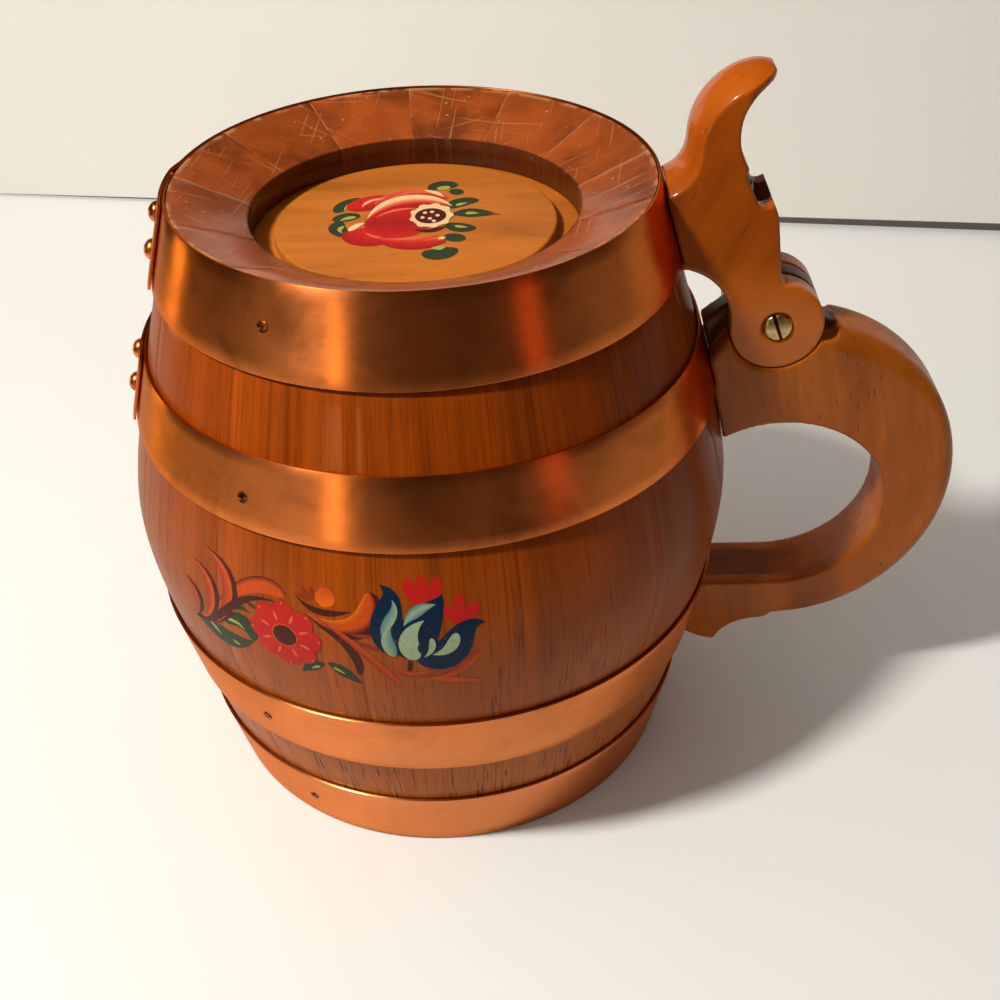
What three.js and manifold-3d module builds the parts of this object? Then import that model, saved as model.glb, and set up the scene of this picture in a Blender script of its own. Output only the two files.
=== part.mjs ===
// Barrel mug: a coopered wooden mug with a hinged lid, four lapped copper hoops and a handle at its side.
// Millimetres, +Z up. The origin is the centre of the foot, and the handle points to +X.

import * as THREE from "three";
import { mergeVertices } from "three/addons/utils/BufferGeometryUtils.js";
import Module from "manifold-3d";

const wasm = await Module();
wasm.setup();

const degree = Math.PI / 180;
const fullTurn = 360;

// Clearance between two pieces that touch on the real mug
const fit = 0.3;

// Barrel: two straight cones that a round belly joins
const barrelHeight = 172;
const lidHeight = 21.6;
const bellyHeight = 86;
const bellyRadius = 82.6;
const bellyRound = 4;
const topSlope = 0.3;
const footSlope = 0.229;
const partingHeight = barrelHeight - lidHeight;
const partingRadius = woodRadius(partingHeight);
const rimRadius = woodRadius(barrelHeight);
const lidUnderside = partingHeight + fit;

// Staves
const staveCount = 13;
const stavePitch = fullTurn / staveCount;
const firstSeamAngle = 122;
const staveThickness = 17;
const staveFacets = 4;
const staveSteps = 12;

// Rim of the lid: a chime that slopes in to a deep round recess
const recessRadius = 41.9;
const chimeDrop = 7.7;

// Lid head: a board with a raised panel, held by its rim in a groove of the lid staves
const headLip = 1.9;
const headRimThickness = 4.4;
const grooveDepth = 3.3;
const moatWidth = 5.9;
const panelRise = 2.9;
const panelEdge = 0.8;
const panelRadius = recessRadius - moatWidth;
const headUnderside = lidUnderside + headLip;
const moatFloor = headUnderside + headRimThickness;
const panelTop = moatFloor + panelRise;

// Bottom head: a board let into a rabbet at the foot
const bottomThickness = 11.7;
const rabbetDepth = 4;
const rabbetHeight = bottomThickness + fit;
const rabbetRadius = woodRadius(rabbetHeight) - staveThickness + rabbetDepth;

// Copper hoops: strips that close in a riveted lap on the side away from the handle
const hoopThickness = 0.7;
const hoopGap = 0.35;
const hoopSteps = 96;
const lapFreeEnd = -165;
const lapAngle = 19;
const lapRampAngle = 7;
const lapLift = hoopThickness + fit;
const upperHoopDrop = 18.1;
const upperHoopWidth = 18;
const lowerHoopHeight = 39.7;
const lowerHoopWidth = 20.6;
const footHoopHeight = 0.5;
const footHoopWidth = 21.5;
const upperHoopHigh = partingHeight - upperHoopDrop;
const lidHoop = { low: lidUnderside + fit, high: barrelHeight + fit, nailAngle: -118, nailDrop: 0 };
const upperHoop = { low: upperHoopHigh - upperHoopWidth, high: upperHoopHigh, nailAngle: -121, nailDrop: 2 };
const lowerHoop = {
  low: lowerHoopHeight,
  high: lowerHoopHeight + lowerHoopWidth,
  nailAngle: -123.5,
  nailDrop: 0.5,
};
const footHoop = { low: footHoopHeight, high: footHoopHeight + footHoopWidth, nailAngle: -120.5, nailDrop: 0 };

// Rivets of the laps
const rivetAzimuth = lapFreeEnd - lapAngle / 2;
const rivetSpread = 10;
const rivetHeadRadius = 2.7;
const rivetHeadHeight = 2;
const rivetShankRadius = 1.2;

// Nails in the front of the hoops
const nailHeadRadius = 1.5;
const nailHeadHeight = 0.6;
const nailShankRadius = 0.7;
const nailLength = 10;

// Hinge: the lever's fork goes round the handle's tongue
const hingeOut = 25.73;
const hingeDrop = 18.4;
const hingeX = partingRadius + hingeOut;
const hingeZ = partingHeight - hingeDrop;
const lobeRadius = 12.2;
const tongueThickness = 6.2;
const slotWidth = tongueThickness + 2 * fit;
const pocketReach = 4.7;

// Handle: a flat D between two ellipses, with a tail under its lower foot
const handleThickness = 20;
const handleRounding = 4.5;
const gripReach = 64.6;
const gripWidth = 94.4;
const gripTop = hingeZ - 1.6;
const gripRise = 8.4;
const gripBottom = footHoop.high + gripRise;
const upperRail = 28.6;
const lowerRail = 14.2;
const outerRail = 18.5;
const fingerWidth = 61.4;
const tailReach = 12.2;
const tailDrop = 8.5;
const grip = ellipseIn(bellyRadius + gripReach - gripWidth, bellyRadius + gripReach, gripBottom, gripTop);
const fingerEnd = bellyRadius + gripReach - outerRail;
const finger = ellipseIn(fingerEnd - fingerWidth, fingerEnd, gripBottom + lowerRail, gripTop - upperRail);
const tail = { x: woodRadius(gripBottom - tailDrop) + tailReach, z: gripBottom - tailDrop };

// Thumb lever
const leverRounding = 1.1;
const lipRadius = 1.3;
const leverRise = 26.9;
const throat = { x: hingeX - 2.3, z: barrelHeight - 11 };
const rest = { x: rimRadius + 18.5, z: barrelHeight + leverRise - 14.9 };
const lip = { x: rimRadius + 25.5, z: barrelHeight + leverRise - lipRadius };
const leverBack = { x: rimRadius + 6.9, z: barrelHeight + leverRise - 17.6 };
const seat = { x: rimRadius + 21.1, z: barrelHeight - 3.8 };
const seatTilt = 25 * degree;
const seatBoreRadius = 7;
const notch = { floor: 1.85, above: 6.6, below: 5, corner: 2.6, reach: 14 };
const tip = { x: rimRadius + 17.3, reach: 9.9, halfWidth: handleThickness / 2 + 0.3 };

// Screws
const hingeScrewShort = 3.5;
const hingeScrew = {
  headRadius: 3.75,
  headHeight: 2.2,
  shankRadius: 2,
  length: handleThickness - hingeScrewShort,
  slot: 0.9,
  dome: 1,
  sunk: 0,
};
const lidScrew = { headRadius: 4, headHeight: 2.6, shankRadius: 1.9, length: 31.5, slot: 1 };
const handleScrew = {
  headRadius: 3.75,
  headHeight: 2.2,
  shankRadius: 1.9,
  length: 33,
  slot: 1,
  dome: 0.6,
  sunk: 0.2,
};
const slotShare = 0.5;
const screwEdge = 5.2;
const upperScrewZ = gripTop - upperRail + screwEdge;
const lowerScrewZ = gripBottom + screwEdge;
const hingeSlotTurn = 20 * degree;

// Fineness of the round shapes
const roundSegments = 96;
const smallSegments = 16;
const screwSegments = 24;
const curveSegments = 10;
const domeSteps = 4;

// How far a cutter runs past the faces that it opens
const overrun = 3;
const farAway = 200;

const materials = {
  varnishedOak: new THREE.MeshStandardMaterial({ color: 0x8a4518, roughness: 0.35 }),
  rimOak: new THREE.MeshStandardMaterial({ color: 0x7c3a1c, roughness: 0.35 }),
  paleBoard: new THREE.MeshStandardMaterial({ color: 0xb96a26, roughness: 0.4 }),
  handleWood: new THREE.MeshStandardMaterial({ color: 0x95501e, roughness: 0.4 }),
  copper: new THREE.MeshStandardMaterial({ color: 0xc9713a, roughness: 0.3, metalness: 0.9 }),
  brass: new THREE.MeshStandardMaterial({ color: 0xb59656, roughness: 0.35, metalness: 0.9 }),
  darkSteel: new THREE.MeshStandardMaterial({ color: 0x4a423c, roughness: 0.4, metalness: 0.9 }),
};

function woodRadius(z) {
  const rise = z - bellyHeight;
  const slope = rise > 0 ? topSlope : footSlope;
  return bellyRadius + bellyRound - Math.hypot(bellyRound, slope * rise);
}

// Middle and half sizes of the ellipse that fills a box
function ellipseIn(left, right, bottom, top) {
  return {
    x: (left + right) / 2,
    z: (bottom + top) / 2,
    halfWidth: (right - left) / 2,
    halfHeight: (top - bottom) / 2,
  };
}

function steps(from, to, count) {
  return Array.from({ length: count + 1 }, (_, i) => from + ((to - from) * i) / count);
}

function polar(radius, angle, z) {
  return new THREE.Vector3(radius * Math.cos(angle), radius * Math.sin(angle), z);
}

// Solids

function toSolid(geometry) {
  const bare = geometry.clone();
  bare.deleteAttribute("normal");
  bare.deleteAttribute("uv");
  const merged = mergeVertices(bare, 1e-4);
  const corners = merged.index.array;
  const kept = [];
  for (let i = 0; i < corners.length; i += 3) {
    const [a, b, c] = [corners[i], corners[i + 1], corners[i + 2]];
    if (a !== b && b !== c && c !== a) {
      kept.push(a, b, c);
    }
  }
  return new wasm.Manifold(
    new wasm.Mesh({
      numProp: 3,
      vertProperties: new Float32Array(merged.attributes.position.array),
      triVerts: new Uint32Array(kept),
    }),
  );
}

function toGeometry(solid) {
  const { vertProperties, triVerts } = solid.getMesh();
  const geometry = new THREE.BufferGeometry();
  geometry.setAttribute("position", new THREE.Float32BufferAttribute(vertProperties, 3));
  geometry.setIndex(Array.from(triVerts));
  return geometry;
}

function cut(solid, tools) {
  return tools.reduce((left, tool) => left.subtract(tool), solid);
}

// Joins like outlines, each turned or moved on from the last, and closes the two ends
function sweep(rings, outline) {
  const size = outline.length;
  const last = (rings.length - 1) * size;
  const index = [];
  for (let ring = 0; ring < last; ring += size) {
    for (let k = 0; k < size; k += 1) {
      const a = ring + k;
      const b = ring + ((k + 1) % size);
      index.push(a, a + size, b + size, a, b + size, b);
    }
  }
  const flat = outline.map(([r, z]) => new THREE.Vector2(r, z));
  for (const [a, b, c] of THREE.ShapeUtils.triangulateShape(flat, [])) {
    index.push(a, b, c, last + a, last + c, last + b);
  }
  const geometry = new THREE.BufferGeometry();
  geometry.setFromPoints(rings.flat());
  geometry.setIndex(index);
  return geometry;
}

function turned(outline, segments = roundSegments) {
  const points = outline.map(([r, z]) => new THREE.Vector2(r, z));
  return new THREE.LatheGeometry(points, segments).rotateX(Math.PI / 2);
}

// A shape drawn in X and Z, given a thickness along Y
function plate(shape, thickness, middle = 0, rounding = 0, bevelSegments = 3) {
  const geometry = new THREE.ExtrudeGeometry(shape, {
    depth: thickness - 2 * rounding,
    bevelEnabled: rounding > 0,
    bevelThickness: rounding,
    bevelSize: rounding,
    bevelOffset: -rounding,
    bevelSegments,
    curveSegments,
  });
  geometry.rotateX(Math.PI / 2);
  return geometry.translate(0, middle + thickness / 2 - rounding, 0);
}

// Turns a piece made along +Z so that it points along a direction from a place
function aimed(place, direction) {
  const turn = new THREE.Quaternion().setFromUnitVectors(new THREE.Vector3(0, 0, 1), direction);
  return new THREE.Matrix4().compose(place, turn, new THREE.Vector3(1, 1, 1));
}

function bore(radius, from, to, matrix, segments = smallSegments) {
  const outline = [
    [0, from],
    [radius, from],
    [radius, to],
    [0, to],
  ];
  return toSolid(turned(outline, segments).applyMatrix4(matrix));
}

// Staves

function stave(outline, index) {
  const start = (firstSeamAngle + index * stavePitch) * degree;
  const end = start + stavePitch * degree;
  const rings = steps(0, 1, staveFacets).map((share) =>
    outline.map(([r, z]) => {
      const seam = Math.asin(fit / 2 / r);
      return polar(r, THREE.MathUtils.lerp(start + seam, end - seam, share), z);
    }),
  );
  return toSolid(sweep(rings, outline));
}

function bodyStaveOutline() {
  return [
    ...steps(0, partingHeight, staveSteps).map((z) => [woodRadius(z), z]),
    ...steps(partingHeight, rabbetHeight, staveSteps).map((z) => [woodRadius(z) - staveThickness, z]),
    [rabbetRadius, rabbetHeight],
    [rabbetRadius, 0],
  ];
}

function lidStaveOutline() {
  return [
    [woodRadius(lidUnderside), lidUnderside],
    [woodRadius(barrelHeight), barrelHeight],
    [recessRadius, barrelHeight - chimeDrop],
    [recessRadius, moatFloor + fit],
    [recessRadius + grooveDepth, moatFloor + fit],
    [recessRadius + grooveDepth, headUnderside - fit],
    [recessRadius, headUnderside - fit],
    [recessRadius, lidUnderside],
  ];
}

// Boards that close the barrel

function lidHead() {
  const headRadius = recessRadius + grooveDepth - fit;
  return turned([
    [0, headUnderside],
    [headRadius, headUnderside],
    [headRadius, moatFloor],
    [panelRadius, moatFloor],
    [panelRadius, panelTop - panelEdge],
    [panelRadius - panelEdge, panelTop],
    [0, panelTop],
  ]);
}

function bottomHead() {
  return turned([
    [0, 0],
    [rabbetRadius - fit, 0],
    [rabbetRadius - fit, bottomThickness],
    [0, bottomThickness],
  ]);
}

// Hoops

// Outer radius at the two edges of a straight strip that rests on the bulging wood
function hoopSeat(hoop) {
  const [low, high] = [woodRadius(hoop.low), woodRadius(hoop.high)];
  const bulges = steps(0, 1, staveSteps).map((share) => {
    const z = THREE.MathUtils.lerp(hoop.low, hoop.high, share);
    return woodRadius(z) - THREE.MathUtils.lerp(low, high, share);
  });
  const lift = Math.max(...bulges) + hoopGap + hoopThickness;
  return { low: low + lift, high: high + lift };
}

function hoopSolid(hoop) {
  const outer = hoopSeat(hoop);
  const outline = [
    [outer.low - hoopThickness, hoop.low],
    [outer.low, hoop.low],
    [outer.high, hoop.high],
    [outer.high - hoopThickness, hoop.high],
  ];
  const innerEnd = lapFreeEnd - lapAngle;
  const rampEnd = innerEnd + fullTurn - 1;
  const rings = steps(innerEnd, lapFreeEnd + fullTurn, hoopSteps).map((azimuth) => {
    const lift = lapLift * THREE.MathUtils.smoothstep(azimuth, rampEnd - lapRampAngle, rampEnd);
    return outline.map(([r, z]) => polar(r + lift, azimuth * degree, z));
  });
  return toSolid(sweep(rings, outline));
}

// Place on a hoop's outer face, with +Z square to it
function onHoop(hoop, azimuth, z, lift) {
  const outer = hoopSeat(hoop);
  const slope = (outer.high - outer.low) / (hoop.high - hoop.low);
  const radius = outer.low + slope * (z - hoop.low);
  const angle = azimuth * degree;
  return aimed(polar(radius + lift, angle, z), polar(1, angle, -slope).normalize());
}

function middleOf(hoop) {
  return (hoop.low + hoop.high) / 2;
}

function rivetPlaces(hoop) {
  return {
    top: onHoop(hoop, rivetAzimuth, middleOf(hoop) + rivetSpread / 2, lapLift),
    bottom: onHoop(hoop, rivetAzimuth, middleOf(hoop) - rivetSpread / 2, lapLift),
  };
}

function nailPlace(hoop) {
  return onHoop(hoop, hoop.nailAngle, middleOf(hoop) - hoop.nailDrop, 0);
}

// Quarter outline of a dome, from its edge to its top on the axis
function dome(radius, edgeHeight, rise) {
  const points = steps(0, 90, domeSteps).map((angle) => [
    radius * Math.cos(angle * degree),
    edgeHeight + rise * Math.sin(angle * degree),
  ]);
  points[domeSteps][0] = 0;
  return points;
}

// Outline of a domed head on a straight shank
function domedOutline(headRadius, headHeight, shankRadius, shankEnd) {
  return [[0, shankEnd], [shankRadius, shankEnd], [shankRadius, fit], ...dome(headRadius, fit, headHeight)];
}

function rivet() {
  const tail = -(hoopThickness + lapLift);
  return turned(domedOutline(rivetHeadRadius, rivetHeadHeight, rivetShankRadius, tail), smallSegments);
}

function nail() {
  return turned(domedOutline(nailHeadRadius, nailHeadHeight, nailShankRadius, -nailLength), smallSegments);
}

function nailBore(hoop) {
  return bore(nailShankRadius + fit, -nailLength - fit, overrun, nailPlace(hoop));
}

function hoopWithHoles(hoop) {
  const holes = Object.values(rivetPlaces(hoop)).map((place) =>
    bore(rivetShankRadius + fit, -hoopThickness - lapLift - overrun, overrun, place),
  );
  return cut(hoopSolid(hoop), [...holes, nailBore(hoop)]);
}

// Screws, made with the head's face at 0 and the tip at -length

function slotCutter(screw, faceHeight) {
  const depth = slotShare * screw.headHeight;
  const box = new THREE.BoxGeometry(screw.slot, 4 * screw.headRadius, 2 * depth);
  return toSolid(box.translate(0, 0, faceHeight));
}

function screwTip(screw) {
  return [
    [0, -screw.length],
    [screw.shankRadius, -screw.length + 2 * screw.shankRadius],
  ];
}

function sunkScrew(screw) {
  const outline = [
    ...screwTip(screw),
    [screw.shankRadius, -screw.headHeight],
    ...dome(screw.headRadius, 0, screw.dome),
  ];
  return toSolid(turned(outline, screwSegments)).subtract(slotCutter(screw, screw.dome));
}

function panScrew(screw) {
  const edge = screw.headRadius / 4;
  const outline = [
    ...screwTip(screw),
    [screw.shankRadius, 0],
    [screw.headRadius, 0],
    [screw.headRadius, screw.headHeight - edge],
    [screw.headRadius - edge, screw.headHeight],
    [0, screw.headHeight],
  ];
  return toSolid(turned(outline, screwSegments)).subtract(slotCutter(screw, screw.headHeight));
}

function shankBore(screw, place) {
  return bore(screw.shankRadius + fit, -screw.length - fit, 0, place, screwSegments);
}

function countersink(screw, place) {
  const slack = screw.headRadius + fit;
  const outline = [
    [0, -screw.headHeight - fit],
    [screw.shankRadius + fit, -screw.headHeight - fit],
    [slack, -fit],
    [slack, overrun],
    [0, overrun],
  ];
  return toSolid(turned(outline, screwSegments).applyMatrix4(place));
}

const towardsFront = new THREE.Vector3(0, -1, 0);
const hingeScrewPlace = aimed(
  new THREE.Vector3(hingeX, -handleThickness / 2 + hingeScrew.sunk, hingeZ),
  towardsFront,
).multiply(new THREE.Matrix4().makeRotationZ(hingeSlotTurn));
const seatDirection = new THREE.Vector3(Math.cos(seatTilt), 0, Math.sin(seatTilt));
const lidScrewPlace = aimed(new THREE.Vector3(seat.x, 0, seat.z), seatDirection);

function handleScrewPlace(z) {
  const face = woodRadius(z) - staveThickness + handleScrew.sunk;
  return aimed(new THREE.Vector3(face, 0, z), new THREE.Vector3(-1, 0, 0));
}

// Space that the barrel and a hoop need in the wood that is fitted round them

function barrelSpace() {
  return toSolid(
    turned([
      [0, -overrun],
      ...steps(0, barrelHeight, 2 * staveSteps).map((z) => [woodRadius(z) + fit, z]),
      [0, barrelHeight],
    ]),
  );
}

function hoopSpace(hoop) {
  const outer = hoopSeat(hoop);
  return toSolid(
    turned([
      [0, hoop.low - fit],
      [outer.low + fit, hoop.low - fit],
      [outer.high + fit, hoop.high + fit],
      [0, hoop.high + fit],
    ]),
  );
}

// Handle

function gripZ(x, side) {
  return grip.z + side * grip.halfHeight * Math.sqrt(1 - ((x - grip.x) / grip.halfWidth) ** 2);
}

function gripShape() {
  const shape = new THREE.Shape();
  shape.absellipse(grip.x, grip.z, grip.halfWidth, grip.halfHeight, -95 * degree, 100 * degree, false, 0);
  return shape;
}

// The handle's left part, at full thickness: tail, lower foot, upper foot, shoulder and round tongue
function rootShape() {
  const shape = new THREE.Shape();
  const inside = partingRadius - overrun;
  const tongueStart = 5 * degree;
  const tongueEnd = 160 * degree;
  const tongueX = hingeX + lobeRadius * Math.cos(tongueStart);
  const tongueZ = hingeZ + lobeRadius * Math.sin(tongueStart);
  const shoulderX = hingeX + lobeRadius + 3.6;
  const middle = grip.x + 2;
  const below = gripZ(finger.x, -1);
  shape.moveTo(inside, tail.z + 9.9);
  shape.lineTo(tail.x - 10.6, tail.z + 4.9);
  shape.quadraticCurveTo(tail.x - 6, tail.z + 0.7, tail.x, tail.z);
  shape.quadraticCurveTo(tail.x + 3.4, tail.z + 8.3, finger.x, below);
  shape.lineTo(middle, below + handleRounding);
  shape.lineTo(middle, gripZ(middle, 1) - handleRounding);
  shape.lineTo(shoulderX, gripZ(shoulderX, 1));
  shape.quadraticCurveTo(tongueX + 0.6, gripZ(shoulderX, 1) + 0.9, tongueX, tongueZ);
  shape.absarc(hingeX, hingeZ, lobeRadius, tongueStart, tongueEnd, false);
  shape.lineTo(hingeX - 18.7, gripTop);
  shape.lineTo(inside, gripTop - 6);
  return shape;
}

function fingerShape() {
  const shape = new THREE.Shape();
  const { x, z, halfWidth, halfHeight } = finger;
  const inside = x - halfWidth - overrun;
  shape.moveTo(inside, z);
  shape.lineTo(inside, z - halfHeight);
  shape.lineTo(x, z - halfHeight);
  shape.absellipse(x, z, halfWidth, halfHeight, -90 * degree, 140 * degree, false, 0);
  return shape;
}

// Pocket in one side of the handle for a cheek of the lever's fork, open at the top
function pocketShape() {
  const shape = new THREE.Shape();
  const radius = lobeRadius + fit;
  const left = 194 * degree;
  const right = -22 * degree;
  const inside = partingRadius - overrun;
  const wall = hingeX + lobeRadius + pocketReach;
  shape.moveTo(inside, hingeZ - lobeRadius - 1.8);
  shape.lineTo(hingeX - 16.7, hingeZ - 10);
  shape.absarc(hingeX, hingeZ, radius, left, right, false);
  shape.lineTo(wall - 1.1, gripZ(wall, 1) + 1);
  shape.lineTo(wall, gripZ(wall, 1) + 4);
  shape.lineTo(wall, hingeZ + 3 * lobeRadius);
  shape.lineTo(inside, hingeZ + 3 * lobeRadius);
  return shape;
}

function pockets() {
  const depth = (handleThickness - tongueThickness) / 2;
  const middle = tongueThickness / 2 + (depth + overrun) / 2;
  return [-middle, middle].map((y) => toSolid(plate(pocketShape(), depth + overrun, y)));
}

function handle() {
  const outer = toSolid(plate(gripShape(), handleThickness, 0, handleRounding));
  const root = toSolid(plate(rootShape(), handleThickness));
  const fingerHole = toSolid(plate(fingerShape(), handleThickness + 2 * overrun));
  return cut(outer.add(root), [
    fingerHole,
    barrelSpace(),
    hoopSpace(upperHoop),
    hoopSpace(lowerHoop),
    ...pockets(),
    shankBore(hingeScrew, hingeScrewPlace),
    shankBore(handleScrew, handleScrewPlace(upperScrewZ)),
    shankBore(handleScrew, handleScrewPlace(lowerScrewZ)),
  ]);
}

// Thumb lever

function leverShape() {
  const shape = new THREE.Shape();
  const inside = rimRadius - overrun;
  const footX = partingRadius + 1.5;
  const footZ = partingHeight - 1.5;
  const lobeX = hingeX - lobeRadius;
  shape.moveTo(inside, footZ);
  shape.lineTo(footX, footZ);
  shape.bezierCurveTo(footX + 6.1, footZ - 1.7, lobeX, hingeZ + 10.5, lobeX, hingeZ);
  shape.absarc(hingeX, hingeZ, lobeRadius, 180 * degree, 450 * degree, false);
  shape.lineTo(throat.x, throat.z);
  shape.bezierCurveTo(throat.x - 1, throat.z + 9, rest.x, rest.z - 10.5, rest.x, rest.z);
  shape.bezierCurveTo(rest.x, rest.z + 5.5, lip.x - 4.5, lip.z - 2.7, lip.x + 0.4, lip.z - lipRadius);
  shape.absarc(lip.x, lip.z, lipRadius, -60 * degree, 100 * degree, false);
  const back = leverBack;
  shape.bezierCurveTo(rest.x, lip.z + lipRadius, back.x + 0.4, back.z + 11, back.x, back.z);
  const rim = { x: rimRadius + 1, z: barrelHeight - 1 };
  shape.bezierCurveTo(back.x - 0.2, back.z - 4.3, rim.x + 5, rim.z + 2, rim.x, rim.z);
  shape.lineTo(inside, barrelHeight - 2);
  return shape;
}

// Slot of the fork, with room for the tongue and for the slope beside it
function forkSlot() {
  const radius = lobeRadius + fit;
  const topOfSlope = hingeZ + radius * Math.sin(154 * degree);
  const disc = new THREE.Shape();
  disc.absarc(hingeX, hingeZ, radius, 0, 360 * degree, false);
  const slope = new THREE.Shape();
  slope.moveTo(hingeX - 2 * radius, hingeZ - 2 * radius);
  slope.lineTo(hingeX, hingeZ - 2 * radius);
  slope.lineTo(hingeX, topOfSlope);
  slope.lineTo(hingeX - 2 * radius, topOfSlope);
  return [disc, slope].map((shape) => toSolid(plate(shape, slotWidth)));
}

// Cross-cut in the lever's back round the screw, with round corners
function notchCutter() {
  const { floor, above, below, corner, reach } = notch;
  const shape = new THREE.Shape();
  shape.moveTo(floor + reach, -below);
  shape.lineTo(floor + reach, above);
  shape.lineTo(floor + corner, above);
  shape.absarc(floor + corner, above - corner, corner, 90 * degree, 180 * degree, false);
  shape.absarc(floor + corner, corner - below, corner, 180 * degree, 270 * degree, false);
  const place = new THREE.Matrix4().makeTranslation(seat.x, 0, seat.z);
  place.multiply(new THREE.Matrix4().makeRotationY(-seatTilt));
  return toSolid(plate(shape, handleThickness + 2 * overrun).applyMatrix4(place));
}

// What lies beyond the round tip of the thumb rest
function tipCutter() {
  const beyond = tip.x + tip.reach + overrun;
  const side = tip.halfWidth + overrun;
  const shape = new THREE.Shape();
  shape.moveTo(tip.x, -side);
  shape.lineTo(beyond, -side);
  shape.lineTo(beyond, side);
  shape.lineTo(tip.x, side);
  shape.lineTo(tip.x, tip.halfWidth);
  shape.absellipse(tip.x, 0, tip.reach, tip.halfWidth, 90 * degree, -90 * degree, true, 0);
  const geometry = new THREE.ExtrudeGeometry(shape, { depth: leverRise, bevelEnabled: false, curveSegments });
  return toSolid(geometry.translate(0, 0, rest.z));
}

function thumbLever() {
  const body = toSolid(plate(leverShape(), handleThickness, 0, leverRounding, 2));
  return cut(body, [
    notchCutter(),
    tipCutter(),
    ...forkSlot(),
    barrelSpace(),
    hoopSpace(lidHoop),
    shankBore(hingeScrew, hingeScrewPlace),
    countersink(hingeScrew, hingeScrewPlace),
    shankBore(lidScrew, lidScrewPlace),
    bore(seatBoreRadius, -fit, farAway, lidScrewPlace, 2 * screwSegments),
  ]);
}

// Assembly

function mesh(name, geometry, material, matrix) {
  const piece = new THREE.Mesh(geometry, material);
  piece.name = name;
  if (matrix) {
    piece.applyMatrix4(matrix);
  }
  return piece;
}

function staves(kind, outline, bores, material) {
  return Array.from({ length: staveCount }, (_, index) => {
    const name = `${kind}_stave_${String(index + 1).padStart(2, "0")}`;
    return mesh(name, toGeometry(cut(stave(outline, index), bores)), material);
  });
}

function hoopSet(kind, hoop) {
  const places = rivetPlaces(hoop);
  return [
    mesh(`${kind}_hoop`, toGeometry(hoopWithHoles(hoop)), materials.copper),
    mesh(`${kind}_hoop_rivet_top`, rivet(), materials.copper, places.top),
    mesh(`${kind}_hoop_rivet_bottom`, rivet(), materials.copper, places.bottom),
    mesh(`${kind}_hoop_nail`, nail(), materials.copper, nailPlace(hoop)),
  ];
}

function handleScrewBores() {
  return [upperScrewZ, lowerScrewZ].flatMap((z) => {
    const place = handleScrewPlace(z);
    return [shankBore(handleScrew, place), countersink(handleScrew, place)];
  });
}

function barrel() {
  const bores = [nailBore(upperHoop), nailBore(lowerHoop), nailBore(footHoop), ...handleScrewBores()];
  const screw = toGeometry(sunkScrew(handleScrew));
  const group = new THREE.Group();
  group.add(
    ...staves("body", bodyStaveOutline(), bores, materials.varnishedOak),
    mesh("bottom_head", bottomHead(), materials.paleBoard),
    ...hoopSet("upper", upperHoop),
    ...hoopSet("lower", lowerHoop),
    ...hoopSet("foot", footHoop),
    mesh("handle", toGeometry(handle()), materials.handleWood),
    mesh("handle_screw_upper", screw, materials.brass, handleScrewPlace(upperScrewZ)),
    mesh("handle_screw_lower", screw, materials.brass, handleScrewPlace(lowerScrewZ)),
  );
  return group;
}

function lid() {
  const bores = [nailBore(lidHoop), shankBore(lidScrew, lidScrewPlace)];
  const hoop = hoopSet("lid", lidHoop);
  hoop[0].geometry = toGeometry(cut(hoopWithHoles(lidHoop), [shankBore(lidScrew, lidScrewPlace)]));
  const group = new THREE.Group();
  group.add(
    ...staves("lid", lidStaveOutline(), bores, materials.rimOak),
    mesh("lid_head", lidHead(), materials.paleBoard),
    ...hoop,
    mesh("thumb_lever", toGeometry(thumbLever()), materials.handleWood),
    mesh("hinge_screw", toGeometry(sunkScrew(hingeScrew)), materials.brass, hingeScrewPlace),
    mesh("lid_screw", toGeometry(panScrew(lidScrew)), materials.darkSteel, lidScrewPlace),
  );
  return group;
}

const mug = new THREE.Group();
mug.add(barrel(), lid());

export default mug;
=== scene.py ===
"""Barrel mug: the looks of a coopered wooden mug with copper hoops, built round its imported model."""

import math
from contextlib import contextmanager

import bmesh
import bpy
from mathutils import Euler, Matrix, Vector


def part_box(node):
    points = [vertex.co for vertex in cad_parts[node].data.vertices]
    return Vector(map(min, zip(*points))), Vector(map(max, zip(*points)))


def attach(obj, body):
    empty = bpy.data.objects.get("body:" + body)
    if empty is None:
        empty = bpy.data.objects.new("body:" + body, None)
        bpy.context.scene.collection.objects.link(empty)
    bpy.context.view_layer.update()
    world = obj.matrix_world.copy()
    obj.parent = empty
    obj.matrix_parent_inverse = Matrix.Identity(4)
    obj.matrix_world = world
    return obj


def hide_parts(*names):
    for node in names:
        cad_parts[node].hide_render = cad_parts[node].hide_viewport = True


bl_info = {
    "name": "Barrel mug",
    "version": (1, 0, 0),
    "blender": (4, 5, 0),
    "location": "3D View > Sidebar > Barrel mug",
    "description": "Coopered mug with copper hoops, a hinged lid and a painted flower spray",
    "category": "Add Mesh",
}

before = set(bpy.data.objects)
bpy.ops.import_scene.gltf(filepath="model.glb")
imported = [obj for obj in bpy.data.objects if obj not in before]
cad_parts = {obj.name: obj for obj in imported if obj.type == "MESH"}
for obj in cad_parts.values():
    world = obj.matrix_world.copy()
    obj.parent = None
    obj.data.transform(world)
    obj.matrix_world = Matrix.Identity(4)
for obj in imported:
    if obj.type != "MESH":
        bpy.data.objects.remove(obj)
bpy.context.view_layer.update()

MM = 0.001
WHOLE_TURN = 2 * math.pi
QUARTER_TURN = math.pi / 2
UP = Vector((0, 0, 1))
FRONT = Vector((0, -1, 0))

# How far a cutting shape runs past what it cuts
OVERRUN = 3 * MM
# Length of a bore that runs out into the open
FAR = 60 * MM
# Points that lie closer together than this are merged
MERGE_DISTANCE = 0.001 * MM
# Cosine from which a face counts as facing a direction
NEARLY_SQUARE = 0.99
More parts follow.
